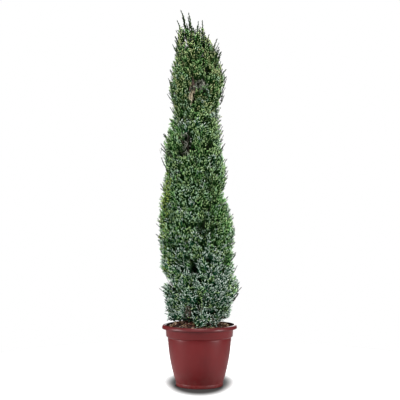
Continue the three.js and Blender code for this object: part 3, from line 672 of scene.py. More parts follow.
def mesh_from_copies(name, batches):
    """One mesh from batches of (template points, template faces, tones of its faces, frames, finishes)."""
    corners, faces, tones = [], [], []
    count = 0
    for points, template_faces, face_tones, frames, finishes in batches:
        if len(frames) == 0:
            continue
        placed = np.einsum("nij,vj->nvi", frames[:, :, :3], points) + frames[:, None, :, 3]
        starts = count + len(points) * np.arange(len(frames))
        corners.append(placed.reshape(-1, 3))
        faces.append((template_faces[None] + starts[:, None, None]).reshape(-1, 3))
        tones.append((finishes[:, None] + face_tones[None]).reshape(-1))
        count += len(points) * len(frames)
    corners, faces, tones = np.concatenate(corners), np.concatenate(faces), np.concatenate(tones)
    mesh = bpy.data.meshes.new(name)
    mesh.vertices.add(len(corners))
    mesh.vertices.foreach_set("co", corners.astype(np.float32).ravel())
    mesh.loops.add(3 * len(faces))
    mesh.loops.foreach_set("vertex_index", faces.astype(np.int32).ravel())
    mesh.polygons.add(len(faces))
    mesh.polygons.foreach_set("loop_start", np.arange(0, 3 * len(faces), 3, dtype=np.int32))
    mesh.polygons.foreach_set("material_index", tones.astype(np.int32))
    mesh.update(calc_edges=True)
    piece = bpy.data.objects.new(name, mesh)
    bpy.context.scene.collection.objects.link(piece)
    return piece


def stack_shapes(shapes):
    """Joins (points, faces, tone) shapes into one template."""
    points, faces, tones, count = [], [], [], 0
    for shape_points, shape_faces, tone in shapes:
        points.append(shape_points)
        faces.append(np.asarray(shape_faces) + count)
        tones.append(np.full(len(shape_faces), tone))
        count += len(shape_points)
    return np.concatenate(points), np.concatenate(faces), np.concatenate(tones)


# %% A basic shape: a tapering cord
SLANTING = (0.31, 0.17, 0.94)  # a direction that hardly any shoot has


def side_axes(direction, helper=SLANTING):
    """Two unit vectors square to a direction and to each other, worked out with a helping direction."""
    first = np.cross(direction, helper)
    first /= np.linalg.norm(first)
    second = np.cross(direction, first)
    return first, second / np.linalg.norm(second)


def cord(path, radii, sides=3):
    """A tapering round cord along a path: a closed root end, and a point at its tip."""
    path = np.asarray(path, float)
    points, faces = [], []
    chord = path[-1] - path[0]
    helper = np.eye(3)[np.argmin(np.abs(chord))] + (0.05, 0.03, 0.04)  # across the cord, and on no axis
    for i, (place, radius) in enumerate(zip(path[:-1], radii)):
        direction = path[min(i + 1, len(path) - 1)] - path[max(i - 1, 0)]
        first, second = side_axes(direction, helper)
        for s in range(sides):
            turn = 2 * math.pi * s / sides
            points.append(place + radius * (math.cos(turn) * first + math.sin(turn) * second))
    points.append(path[-1])
    for i in range(len(path) - 2):
        for s in range(sides):
            low, beside = sides * i + s, sides * i + (s + 1) % sides
            faces += [(low, beside, beside + sides), (low, beside + sides, low + sides)]
    last = sides * (len(path) - 2)
    faces += [(last + s, last + (s + 1) % sides, len(points) - 1) for s in range(sides)]
    faces += [(0, s + 1, s) for s in range(1, sides - 1)]
    return np.array(points), faces


# %% [markdown]
# Bark chips, perlite and soil crumbs are all rough little blocks, so one template of twenty faces serves all
# three, each copy squashed in its own way. The shed shoots are thin bent cords that lie flat.

# %% Things that lie on the soil
scatter = np.random.default_rng(SEED)
soil_places = vertices_of(soil)
soil_top = soil_places[soil_places[:, 2] > SOIL_EDGE - 1 * MM]


def on_the_soil(count, least_radius, most_radius, lift):
    """Random places on the soil between two radii, each lifted by its own amount."""
    turns = scatter.uniform(0, 2 * math.pi, count)
    reaches = np.sqrt(scatter.uniform(least_radius**2, most_radius**2, count))
    flat = np.stack([reaches * np.sin(turns), -reaches * np.cos(turns)], axis=1)
    nearest = [np.argmin(((soil_top[:, :2] - place) ** 2).sum(axis=1)) for place in flat]
    return np.column_stack([flat, soil_top[nearest, 2] + lift])


def rough_block():
    """An icosahedron with its corners knocked about."""
    shape = bmesh.new()
    bmesh.ops.create_icosphere(shape, subdivisions=1, radius=0.5)
    points = np.array([vertex.co for vertex in shape.verts])
    faces = [[vertex.index for vertex in face.verts] for face in shape.faces]
    shape.free()
    return points * scatter.uniform(0.75, 1.15, (len(points), 1)), faces


def lying_frames(places, sizes, flatness, length_share=1.0):
    """Frames for things that lie about: turned at random, tipped a little, and flattened."""
    count = len(places)
    turns = scatter.uniform(0, 2 * math.pi, count)
    along = np.stack([np.cos(turns), np.sin(turns), scatter.normal(0, 0.22, count)], axis=1)
    facing = np.column_stack([scatter.normal(0, 0.25, (count, 2)), np.ones(count)])
    frames = frames_from(places, along, facing, sizes * length_share, sizes)
    frames[:, :, 2] *= flatness
    return frames


# %% The litter: crumbs, chips, grains and shed shoots
LITTER_FROM, LITTER_TO = 24 * MM, soil_radius - 6 * MM  # between the stem's foot and the pot's wall
SHOOT_LIFT = 1.2 * MM
block = stack_shapes([(*rough_block(), 0)])
bent_path = [(0, -0.5, 0), (0.05, -0.15, 0.02), (0.02, 0.2, 0.0), (-0.06, 0.5, 0.02)]
shed_shoot = stack_shapes([(*cord(bent_path, (0.045, 0.05, 0.035)), 0)])
# Name, colour, shape, how many, least and most size in mm, flatness, and length as a share of the width.
LITTER = [
    ("Crumb", tint(46, 30, 25), block, 1500, (1.6, 4.6), 0.8, 1.2),
    ("Bark chip", tint(86, 50, 40), block, 230, (4, 12), 0.32, 1.8),
    ("Pale chip", tint(206, 178, 154), block, 170, (3, 10), 0.3, 2.0),
    ("Perlite", tint(214, 208, 196), block, 85, (1.6, 4.2), 0.85, 1.0),
    ("Dry shoot", tint(132, 104, 70), shed_shoot, 240, (8, 20), 1.0, 1.0),
    ("Straw", tint(172, 146, 104), shed_shoot, 90, (8, 24), 1.0, 1.0),
]
litter_finishes, batches = [], []
for tone, (label, colour, shape, count, sizes, flatness, stretch) in enumerate(LITTER):
    finish, shader = new_finish(label, colour, 0.9, 0.2)
    grain = place_group(finish, relief, own_coordinates(finish), Coarse_scale=500.0, Fine_scale=1800.0)
    add_bump(finish, shader, grain.outputs["Height"], 0.5, 0.6 * MM)
    litter_finishes.append(finish)
    size = MM * scatter.uniform(*sizes, count)
    lift = 0.2 * size * flatness if shape is block else SHOOT_LIFT
    places = on_the_soil(count, LITTER_FROM, LITTER_TO, lift)
    batches.append((*shape, lying_frames(places, size, flatness, stretch), np.full(count, tone)))
litter = mesh_from_copies("soil_litter", batches)
dress(litter, "soil", litter_finishes)

# %% [markdown]
# ## The rule that the tree grows by
#
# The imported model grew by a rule, and this is that rule again. The crown has an outline: at each height a
# reach and a lean. Inside it stand tiers of plumes, five round the trunk, and each plume owns the space that
# is nearer to its own middle than to its neighbours', apart from the bare inside. With the same rule and the
# same dice, every spray below grows in the space of the solid that it replaces, give or take its tip. The
# solids have only the large hollows of the crown. The finer ones, and the small windows at its edge through
# which the sky shows, are kept open here. All functions take whole arrays of points, because tens of
# thousands of places are tried.

# %% Outline of the crown and the trunk's lean
TREE_TOP = 1511 * MM
TRUNK_TIP = 1290 * MM
LOWEST_LEAF = 227 * MM
GROUND_HEIGHT = 221 * MM  # the trunk's flat cut, from which the rule counts
# Height, reach from the crown's axis, and that axis's lean.
CROWN = MM * np.array([
    (227, 112, -4), (275, 128, -2), (330, 134, 0), (385, 152, 4), (440, 141, -2), (550, 144, -13),
    (650, 148, -15), (700, 138, -22), (790, 126, -21), (870, 122, -13), (950, 119, -31), (1010, 108, -22),
    (1110, 87, -15), (1180, 107, -15), (1240, 107, -3), (1300, 93, -14), (1365, 84, -12), (1410, 60, -33),
    (1463, 53, -42), (1480, 24, -66), (1511, 10, -74),
])
# Height, and the trunk's lean to the right.
TRUNK_LEAN = MM * np.array([
    (221, 0), (420, -3), (620, -13), (900, -18), (1120, -21), (1200, -16), (1290, -22),
])
# Height, and how far the crown is bare round the trunk.
INSIDE = MM * np.array([(240, 36), (400, 36), (700, 31), (1000, 22), (1290, 13)])
TRUNK_SWAY = 5 * MM
SWAY_LENGTH = 170 * MM
# Places that the foliage leaves open: azimuth in degrees, then height, half width, half height and depth.
HOLLOWS = [
    (8, 1194, 31, 21, 56), (-8, 1148, 13, 40, 34), (-10, 957, 18, 54, 60), (-27, 919, 20, 15, 46),
    (8, 622, 13, 30, 27), (13, 566, 13, 32, 28), (18, 506, 18, 16, 28), (-24, 254, 26, 20, 96),
    (-90, 424, 60, 15, 34), (84, 752, 50, 13, 22), (-37, 1055, 14, 12, 30), (35, 947, 11, 20, 34),
    (-42, 548, 14, 30, 24), (-10, 464, 18, 22, 34), (0, 322, 13, 34, 30), (-18, 300, 14, 24, 26),
]
# Where sky shows right through the crown, seen from the front: x, height, half width and half height.
WINDOWS = MM * np.array([
    (-56, 1384, 7, 13), (-152, 430, 14, 8), (-136, 417, 13, 9), (-121, 409, 9, 7), (-109, 397, 8, 7),
    (-99, 387, 6, 5), (64, 1394, 18, 36), (-150, 940, 13, 28), (112, 778, 14, 22),
])
# How far the skirt's lower edge hangs above its lowest shoots, by azimuth in degrees, and how ragged it is.
SKIRT_EDGE = np.array([
    (-180, 34), (-84, 34), (-64, 38), (-22, 44), (-9, 2), (30, 2), (42, 28), (66, 40), (92, 40), (180, 34),
])
SKIRT_RAG, SKIRT_RAG_SCALE = 9 * MM, 45


# %% Measuring places against the crown
def at(rows, height, column=1):
    """The value in one column of a table whose rows start with a height."""
    return np.interp(height, rows[:, 0], rows[:, column])


def towards(azimuth):
    """A level direction: 0 is the front, and a quarter turn is to the right."""
    azimuth = np.asarray(azimuth, float)
    return np.stack([np.sin(azimuth), -np.cos(azimuth), np.zeros_like(azimuth)], axis=-1)


def smoothstep(value, low, high):
    """Eases from 0 at the low value to 1 at the high one."""
    share = np.clip((value - low) / (high - low), 0, 1)
    return share * share * (3 - 2 * share)


def mix_between(low, high, share):
    """The value that lies a share of the way from one to the other."""
    return low + (high - low) * share


def crown_axis(height):
    """The middle of the crown at each height."""
    height = np.asarray(height, float)
    return np.stack([at(CROWN, height, 2), np.zeros_like(height), height], axis=-1)


def trunk_centre(height):
    """The middle of the trunk at each height, with its lean and its sway."""
    height = np.asarray(height, float)
    sway = TRUNK_SWAY * np.sin(np.maximum(0, height - GROUND_HEIGHT) / SWAY_LENGTH)
    return np.stack([at(TRUNK_LEAN, height), sway, height], axis=-1)


def outline_depth(points):
    """How far inside the crown's outline each point lies."""
    return at(CROWN, points[:, 2]) - np.linalg.norm(points - crown_axis(points[:, 2]), axis=1)


def hollow_depth(points):
    """How far each point lies from the nearest open place, and below zero within one."""
    depth = np.full(len(points), np.inf)
    for azimuth, height, half_width, half_height, reach_in in HOLLOWS:
        out = towards(math.radians(azimuth))
        side = np.array([-out[1], out[0], 0])
        height, sizes = height * MM, MM * np.array([reach_in, half_width, half_height])
        offset = points - (crown_axis(height) + out * at(CROWN, height))
        shares = np.stack([offset @ out, offset @ side, points[:, 2] - height], axis=1) / sizes
        depth = np.minimum(depth, (np.linalg.norm(shares, axis=1) - 1) * min(sizes[1:]))
    return depth


def window_depth(points):
    """How far each point lies from the nearest window, and below zero within one."""
    depth = np.full(len(points), np.inf)
    for x, height, half_width, half_height in WINDOWS:
        shares = np.hypot((points[:, 0] - x) / half_width, (points[:, 2] - height) / half_height)
        depth = np.minimum(depth, (shares - 1) * min(half_width, half_height))
    return depth


def above_edge(points):
    """How far each point lies above the skirt's lower edge on its own side."""
    azimuths = np.degrees(np.arctan2(points[:, 0], -points[:, 1]))
    ragged = SKIRT_RAG * noise_at(points * (1, 1, 0), (SKIRT_RAG_SCALE, SKIRT_RAG_SCALE, 0), 2.0)
    return points[:, 2] - LOWEST_LEAF - MM * np.interp(azimuths, SKIRT_EDGE[:, 0], SKIRT_EDGE[:, 1]) - ragged


print("the crown reaches out", at(CROWN, np.array([0.65, 1.41])).round(3), "m at 650 and 1410 mm")


# %% The plumes, with the same dice as the solids
def dice(seed):
    """Repeatable random numbers from 0 to 1."""
    state = seed

    def roll():
        nonlocal state
        state = (state + 0x6D2B79F5) % 2**32
        mixed = (state ^ (state >> 15)) * (1 | state) % 2**32
        mixed ^= (mixed + (mixed ^ (mixed >> 7)) * (61 | mixed)) % 2**32
        return (mixed ^ (mixed >> 14)) / 2**32

    return roll


PLUMES_IN_TIER = 5
# Name, first azimuth in degrees, foot, tip, how much higher every other plume stands, and how far below its
# foot the limb leaves the trunk, all in mm.
TIERS = [
    ("skirt", -84, 227, 476, 24, -24),
    ("lower", -120, 296, 800, 54, 20),
    ("middle", -84, 540, 1046, 54, 60),
    ("upper", -120, 788, 1240, 46, 52),
    ("top", -84, 1066, 1440, 30, 16),
]
OWN_SPANS = {
    "upper_4": {"foot": 880 * MM, "tip": 1392 * MM},
    "top_1": {"tip": 1466 * MM},
    "top_2": {"foot": 1196 * MM, "tip": 1446 * MM},
    "top_3": {"tip": 1464 * MM},
}
LIMB_STAGGER = 3  # each further limb of a tier leaves the trunk this much lower
TIP_STRAY = 12  # the most that a tip strays from its tier's rule
TURN_STRAY = 5  # and an azimuth, in degrees
LEADER_REACH, LEADER_DROP = 44 * MM, 45 * MM  # the leader's foot lies this far below the trunk's tip
WIDEST_AT = 0.36  # where a plume is widest, as a share of its height


def plan_plumes():
    """Where each plume of the crown stands, from the ground up, and the leader last."""
    roll = dice(SEED + 1)
    plumes = []
    for tier, turn, foot, tip, stagger, limb_drop in TIERS:
        for i in range(PLUMES_IN_TIER):
            lift = stagger * (i % 2)
            azimuth = turn + 360 * i / PLUMES_IN_TIER + TURN_STRAY * (2 * roll() - 1)
            plume = {"label": f"{tier}_{i + 1}", "tier": tier, "leads": False}
            plume["azimuth"] = math.radians(azimuth)
            plume["foot"] = (foot + lift) * MM
            plume["tip"] = (tip + lift + TIP_STRAY * (2 * roll() - 1)) * MM
            plume.update(OWN_SPANS.get(plume["label"], {}))
            plume["limb_at"] = plume["foot"] - (limb_drop + LIMB_STAGGER * i) * MM
            plumes.append(plume)
    plumes.append({
        "label": "leader", "tier": "leader", "leads": True, "azimuth": 0.0,
        "foot": TRUNK_TIP - LEADER_DROP, "tip": TREE_TOP, "limb_at": TRUNK_TIP,
    })
    for plume in plumes:
        widest = mix_between(plume["foot"], plume["tip"], WIDEST_AT)
        plume["out"] = towards(plume["azimuth"])
        free = (at(CROWN, widest) - at(INSIDE, widest)) / 2
        plume["reach"] = LEADER_REACH if plume["leads"] else free
    return plumes


plumes = plan_plumes()
print(len(plumes), "plumes:", ", ".join(plume["label"] for plume in plumes))


# %% The space of each plume
FOOT_CLOSES, TIP_SPREAD = 0.78, 1.3  # how far out a plume's foot and tip stand, as shares of its middle's way


def space_centre(plume, height):
    """The middle of a plume's space: nearer to the trunk at its foot, and further out at its tip."""
    height = np.asarray(height, float)
    share = (height - plume["foot"]) / (plume["tip"] - plume["foot"])
    axis = crown_axis(height)
    if plume["leads"]:
        return mix_between(trunk_centre(height), axis, smoothstep(share, 0.2, 1)[..., None])
    settled = (at(CROWN, height) + at(INSIDE, height)) / 2
    opening = mix_between(FOOT_CLOSES, 1, smoothstep(share, -0.1, 0.35))
    closing = mix_between(1, TIP_SPREAD, smoothstep(share, 0.45, 1))
    return axis + plume["out"] * (settled * opening * closing)[..., None]


def reach_at(plume, height):
    """How wide a plume is: it opens quickly, is widest below its middle and ends in a point."""
    share = np.clip((height - plume["foot"]) / (plume["tip"] - plume["foot"]), 0, 1)
    return plume["reach"] * np.sin(math.pi * share**0.8).clip(0) ** 0.6


def spaces_at(height):
    """For every plume: the middle of its space at each height, its reach there and whether it lives there."""
    centres = np.stack([space_centre(plume, height) for plume in plumes])
    reaches = np.stack([reach_at(plume, height) for plume in plumes])
    alive = np.stack([(height >= plume["foot"]) & (height <= plume["tip"]) for plume in plumes])
    return centres, reaches, alive


def owners_of(points):
    """The plume in whose space each point lies, or -1."""
    centres, reaches, alive = spaces_at(points[:, 2])
    power = ((points[None, :, :2] - centres[:, :, :2]) ** 2).sum(axis=2) - reaches**2
    power[~alive] = np.inf
    return np.where(alive.any(axis=0), power.argmin(axis=0), -1)


def border_depth(points, owners):
    """How far each point lies from its owner's neighbours, below zero beyond the border between them."""
    centres, reaches, alive = spaces_at(points[:, 2])
    index = np.arange(len(points))
    centre, own = centres[owners, index], reaches[owners, index]
    depth = np.full(len(points), np.inf)
    for k in range(len(plumes)):
        between = (centres[k] - centre)[:, :2]
        span = np.maximum(np.linalg.norm(between, axis=1), 1e-9)
        along = ((points - centre)[:, :2] * between).sum(axis=1)
        border = (span**2 + own**2 - reaches[k] ** 2) / (2 * span) - along / span
        depth = np.where((owners == k) | ~alive[k], depth, np.minimum(depth, border))
    return depth


def inward_depth(points, owners):
    """How far each point lies outside the bare inside, on its owner's side of the trunk."""
    outs = np.stack([plume["out"] for plume in plumes])[owners]
    inward = ((points - trunk_centre(points[:, 2])) * outs).sum(axis=1) - at(INSIDE, points[:, 2])
    leads = np.array([plume["leads"] for plume in plumes])[owners]
    return np.where(leads, points[:, 2] - TRUNK_TIP, inward)


# %% [markdown]
# ## Trunk and limbs
#
# The trunk is lofted ring by ring from its flat cut to its tip, and its root flare, which stands in the mound
# of soil, has five ridges. Italian cypress bark is thin, grey brown and drawn into long shallow strips, so
# after the loft each vertex moves in or out by noise that is stretched along the stem. The limbs follow the
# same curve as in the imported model, a smooth line through the elbow, the entry and four stations of the
# plume's space. They are curves with a thickness at each point, turned into meshes, as one would draw a
# branch by hand.

# %% Smooth paths through points
class Path:
    """A centripetal Catmull-Rom curve through a few points, measured along its length."""

    def __init__(self, stations, steps=24):
        stations = np.asarray(stations, float)
        ends = 2 * stations[0] - stations[1], 2 * stations[-1] - stations[-2]
        control = np.vstack([ends[0], stations, ends[1]])
        pieces = [self._span(control[i:i + 4], steps) for i in range(len(stations) - 1)]
        self.points = np.vstack([*pieces, stations[-1:]])
        lengths = np.linalg.norm(np.diff(self.points, axis=0), axis=1)
        self.reached = np.concatenate([[0], np.cumsum(lengths)])
        self.length = self.reached[-1]

    @staticmethod
    def _span(p, steps):
        """The stretch between the second and the third of four points."""
        knots = np.concatenate([[0], np.cumsum(np.sqrt(np.linalg.norm(np.diff(p, axis=0), axis=1)))])
        t = np.linspace(knots[1], knots[2], steps, endpoint=False)[:, None]

        def between(a, b, low, high):
            return a * (high - t) / (high - low) + b * (t - low) / (high - low)

        first = [between(p[i], p[i + 1], knots[i], knots[i + 1]) for i in range(3)]
        second = [between(first[i], first[i + 1], knots[i], knots[i + 2]) for i in range(2)]
        return between(second[0], second[1], knots[1], knots[2])

    def at(self, share):
        """The places at shares of the curve's length."""
        place = np.asarray(share, float) * self.length
        return np.stack([np.interp(place, self.reached, self.points[:, i]) for i in range(3)], axis=-1)


# %% Loft the trunk
TRUNK_RADIUS, TRUNK_TIP_RADIUS = 13.5 * MM, 3.4 * MM
FLARE_RADIUS, FLARE_HEIGHT, FLARE_RIDGES = 22 * MM, 45 * MM, 5
TRUNK_SIDES = 56
TRUNK_STEP = 5 * MM


def trunk_radius(height):
    """The trunk's radius without its root flare."""
    risen = np.maximum(0, (height - GROUND_HEIGHT) / (TRUNK_TIP - GROUND_HEIGHT))
    return mix_between(TRUNK_RADIUS, TRUNK_TIP_RADIUS, risen**0.85)


def flare_at(height):
    """The root flare's swelling without its ridges."""
    return (FLARE_RADIUS - TRUNK_RADIUS) * np.clip(1 - (height - GROUND_HEIGHT) / FLARE_HEIGHT, 0, 1) ** 2.2


heights = np.arange(GROUND, TRUNK_TIP, TRUNK_STEP)
centres, radii = trunk_centre(heights), trunk_radius(heights)
trunk = start_ring("trunk_bark", radii[0], GROUND, TRUNK_SIDES)
bpy.ops.transform.translate(value=(*centres[0][:2], 0))
for i in range(1, len(heights)):
    next_ring(radii[i] / radii[i - 1], tuple(centres[i] - centres[i - 1]), tuple(centres[i]))
bpy.ops.mesh.edge_face_add()
choose(trunk, lambda place: place.z < GROUND + TOUCHING)
bpy.ops.mesh.edge_face_add()
close_shell()
print("trunk lofted in", len(heights), "rings")


# %% Bark relief
STRIPS, FLAKES = (210, 210, 16), (520, 520, 60)  # scales of the bark's strips and flakes along x, y and z
STRIP_DEPTH, FLAKE_DEPTH, BARK_SINKS = 1.2, 0.35, 0.9  # as shares of the relief's depth
TRUNK_RELIEF, LIMB_RELIEF, DEAD_RELIEF = 1.1 * MM, 0.45 * MM, 0.3 * MM
RIDGE_SHARE = 0.35  # how far the flare's ridges rise and fall, as a share of the flare


def bark_lift(places, depth):
    """Long shallow strips: noise that is stretched along the stem, with its ridges kept sharp."""
    strips = 1 - np.abs(noise_at(places, STRIPS))
    flakes = noise_at(places, FLAKES, 3.0)
    return depth * (STRIP_DEPTH * strips - BARK_SINKS + FLAKE_DEPTH * flakes)


places = vertices_of(trunk)
spokes = places - trunk_centre(places[:, 2])
spokes[:, 2] = 0
reach = np.linalg.norm(spokes, axis=1)
spokes /= np.maximum(reach, 1e-9)[:, None]
azimuths = np.arctan2(spokes[:, 0], -spokes[:, 1])
ridged = flare_at(places[:, 2]) * (1 + RIDGE_SHARE * np.cos(FLARE_RIDGES * azimuths))
above_ground = smoothstep(places[:, 2], GROUND, GROUND + 3 * MM)
lift = ridged + bark_lift(places, TRUNK_RELIEF) * above_ground
places += spokes * lift[:, None] * (reach > 1 * MM)[:, None]
move_vertices(trunk, places)
smooth(trunk, 60)


# %% Limbs as curves with a thickness
ENTRY = 0.12  # where a limb enters its plume, as a share of the plume's height
ELBOW_HEIGHT, ELBOW_REACH = 0.42, 0.66  # its elbow, as shares of the climb and of the way out to there
LIMB_STATIONS = (0.27, 0.48, 0.72, 0.93)  # where it then follows the middle of the plume's space
BOUGH_RADIUS = (5.4 * MM, 2.2 * MM)  # at the trunk, for the lowest and the highest limbs
LIMB_TAPER = 0.35  # a limb's tip, as a share of its foot
LIMB_COLLAR, COLLAR_FADE = 0.2, 40  # a limb's swelling where it leaves the trunk, and how fast it fades


def limb_path(plume):
    """From inside the trunk up through the bare inside, into the plume's space and on to its tip."""
    def height_at(share):
        return mix_between(plume["foot"], plume["tip"], share)

    stations = [space_centre(plume, height_at(share)) for share in LIMB_STATIONS]
    if plume["leads"]:
        return Path([trunk_centre(TRUNK_TIP), *stations[1:-1]])
    entry = height_at(ENTRY)
    elbow = mix_between(plume["limb_at"], entry, ELBOW_HEIGHT)
    bend = trunk_centre(elbow) + plume["out"] * at(INSIDE, elbow) * ELBOW_REACH
    inside = trunk_centre(entry) + plume["out"] * at(INSIDE, entry)
    return Path([trunk_centre(plume["limb_at"]), bend, inside, *stations])


def limb_radius(plume, share):
    """A limb's radius at shares of its length."""
    risen = (plume["foot"] - GROUND_HEIGHT) / (TREE_TOP - GROUND_HEIGHT)
    foot = TRUNK_TIP_RADIUS if plume["leads"] else mix_between(*BOUGH_RADIUS, risen)
    swelling = 0 if plume["leads"] else LIMB_COLLAR * np.exp(-COLLAR_FADE * share)
    return foot * mix_between(1, LIMB_TAPER, share) * (1 + swelling)


def draw_limbs(name, limbs, resolution):
    """One mesh from limbs that are each (points, radii), drawn as a curve with a round section."""
    bpy.ops.object.select_all(action="DESELECT")
    drawing = bpy.data.curves.new(name, "CURVE")
    drawing.dimensions = "3D"
    drawing.bevel_depth = 1.0
    drawing.bevel_resolution = resolution
    drawing.use_fill_caps = True
    for points, radii in limbs:
        spline = drawing.splines.new("POLY")
        spline.points.add(len(points) - 1)
        spline.points.foreach_set("co", np.column_stack([points, np.ones(len(points))]).ravel())
        spline.points.foreach_set("radius", np.asarray(radii, float))
    piece = bpy.data.objects.new(name, drawing)
    bpy.context.scene.collection.objects.link(piece)
    piece.select_set(True)
    bpy.context.view_layer.objects.active = piece
    bpy.ops.object.convert(target="MESH")
    return piece


def roughen(piece, depth):
    """Presses bark into a piece along its own normals."""
    normals = np.empty(3 * len(piece.data.vertices))
    piece.data.vertex_normals.foreach_get("vector", normals)
    places = vertices_of(piece)
    move_vertices(piece, places + normals.reshape(-1, 3) * bark_lift(places, depth)[:, None])


for plume in plumes:
    plume["path"] = limb_path(plume)
print("the longest limb is", round(max(plume["path"].length for plume in plumes), 3), "m")

# %% Draw the limbs of each tier
TIER_NAMES = [row[0] for row in TIERS] + ["leader"]
LIMB_POINTS = 70
limb_pieces = []
for tier in TIER_NAMES:
    members = [plume for plume in plumes if plume["tier"] == tier]
    shares = np.linspace(0, 1, LIMB_POINTS)
    limbs = [(plume["path"].at(shares), limb_radius(plume, shares)) for plume in members]
    piece = draw_limbs(f"limbs_{tier}", limbs, 4)
    roughen(piece, LIMB_RELIEF)
    smooth(piece, 60)
    limb_pieces.append((piece, [f"bough_{plume['label']}" for plume in members if not plume["leads"]]))

# %% [markdown]
# One limb near the top has died back. It shows as bare wood in an opening of the crown, with a few dry twigs
# that fork once more.

# %% Draw the bare limb
BARE_AT, BARE_REACH, BARE_RADIUS = 1136 * MM, MM * np.array([42, -52, 62]), 3.4 * MM
BARE_SAG = MM * np.array([-4, -8, -6])  # how far its middle lies off the straight line
BARE_TWIGS, BARE_TWIG_LENGTH = 4, 27 * MM
TWIG_WAVER, FORK_STRAY = 0.07, 0.15
FORK_LENGTH, FORK_RADIUS = 0.5, 0.6  # of a side twig, as shares of the twig that it leaves
bare_dice = np.random.default_rng(SEED + 2)
bare_start = trunk_centre(BARE_AT)
bare_path = Path([bare_start, bare_start + 0.5 * BARE_REACH + BARE_SAG, bare_start + BARE_REACH])
shares = np.linspace(0, 1, 24)
dry_limbs = [(bare_path.at(shares), BARE_RADIUS * (1 - 0.6 * shares))]


def fork(root, direction, length, radius, forks):
    """A dry twig that wavers as it goes and forks to both sides."""
    steps = np.linspace(0, 1, 6)[:, None]
    sideways = bare_dice.normal(0, TWIG_WAVER * length, (6, 3)) * steps
    points = root + direction * length * steps + sideways
    dry_limbs.append((points, radius * (1 - 0.55 * steps[:, 0])))
    if forks == 0:
        return
    for place, sign in ((2, 1), (3, -1), (4, 1)):
        side = np.cross(direction, (0.2, 1, 0.1)) * sign * 0.7
        branching = direction + side + bare_dice.normal(0, FORK_STRAY, 3)
        branching /= np.linalg.norm(branching)
        fork(points[place], branching, FORK_LENGTH * length, FORK_RADIUS * radius, forks - 1)


for i in range(BARE_TWIGS):
    lean = np.array([0.55 if i % 2 else -0.55, -0.4, 1])
    root = bare_path.at(0.45 + 0.5 * i / BARE_TWIGS)
    fork(root, lean / np.linalg.norm(lean), BARE_TWIG_LENGTH * (1 - 0.12 * i), 0.32 * BARE_RADIUS, 1)
bare_limb = draw_limbs("dead_limb", dry_limbs, 2)
roughen(bare_limb, DEAD_RELIEF)
smooth(bare_limb, 60)


# %% Finish of the bark
def bark_finish(name, common, other, scale):
    """Fibrous bark: a colour that changes in long strips, and a bump in the same direction."""
    finish, shader = new_finish(name, common, 0.88, 0.25)
    strips = own_coordinates(finish, (1, 1, 0.14))
    grain = place_group(finish, uneven, strips, Scale=scale, Common=common, Other=other, Least=0.4, Most=0.6)
    finish.node_tree.links.new(grain.outputs["Colour"], shader.inputs["Base Color"])
    fissures = place_group(
        finish, relief, strips, Coarse_scale=2 * scale, Fine_scale=9 * scale, Fine_share=0.5
    )
    add_bump(finish, shader, fissures.outputs["Height"], 0.8, 1.0 * MM)
    return finish


bark = bark_finish("Grey brown bark", tint(104, 96, 84), tint(58, 51, 44), 120.0)
# Painted shade: the limbs have the trunk's bark, painted much darker because they stand in the shade inside the
# crown.
shaded_bough_bark = bark_finish("Bough bark", tint(60, 55, 46), tint(34, 31, 26), 140.0)
dead_wood = bark_finish("Bare dead wood", tint(160, 155, 140), tint(88, 80, 68), 150.0)
dress(trunk, "bark", [bark], "trunk")
for piece, replaced in limb_pieces:
    dress(piece, "bark", [shaded_bough_bark], *replaced)
dress(bare_limb, "bark", [dead_wood], "bare_bough")

# %% [markdown]
# ## Sprays of foliage
#
# A cypress shoot is a cord one or two millimetres thick. Side shoots leave it in turn to the left and to the
# right and fork again, so a spray looks like a feather that points up and out. Thirteen spray shapes are
# modelled, each once: full ones for the skin of the crown, plain and coarse ones for its shaded inside, slim
# beaded ones and spikes for the tips that stand clear, and thin bare ones for what has died. Each shoot is
# made of slender cones with three sides, which catch the light on one side and keep the other dark.

# %% Shoots: cones, and branchlets made of them
spray_dice = np.random.default_rng(SEED + 3)
# The fresh ends' tone holds their real paler green and painted highlights, and the older shoots' tone holds
# painted shade.
BASE, TIP = 0, 1  # tones within a spray: older shoots, and the fresh ends
CONE_FACES = [(0, 2, 1), (0, 1, 3), (1, 2, 3), (2, 0, 3)]
SHAFT_TO, END_FROM = 0.8, 0.44  # a branchlet's shaft and its end overlap between these shares of its length
SHAFT_WIDTH, END_WIDTH = 0.95, 0.98
KNOBS_FROM, KNOBS_OVER, KNOB_LENGTH = 0.1, 0.62, 0.31  # as shares of the branchlet's length
KNOB_AHEAD, KNOB_ASIDE, KNOB_STRAY = 0.78, 0.62, 0.3  # the way that a knob of scale leaves points


def turned(angle, lift):
    """A direction in the spray's own plane, at an angle from its axis, lifted out of the plane."""
    return np.array([math.sin(angle) * math.cos(lift), math.cos(angle) * math.cos(lift), math.sin(lift)])


def scale_leaf(root, tip, radius):
    """A closed cone of four faces: one knob of scale leaves, or a whole thin shoot."""
    root, tip = np.asarray(root, float), np.asarray(tip, float)
    first, second = side_axes(tip - root)
    turn = spray_dice.uniform(0, 2)
    ring = [
        root + radius * (math.cos(turn + a) * first + math.sin(turn + a) * second)
        for a in (0, 2 * math.pi / 3, 4 * math.pi / 3)
    ]
    return np.array([*ring, tip]), CONE_FACES


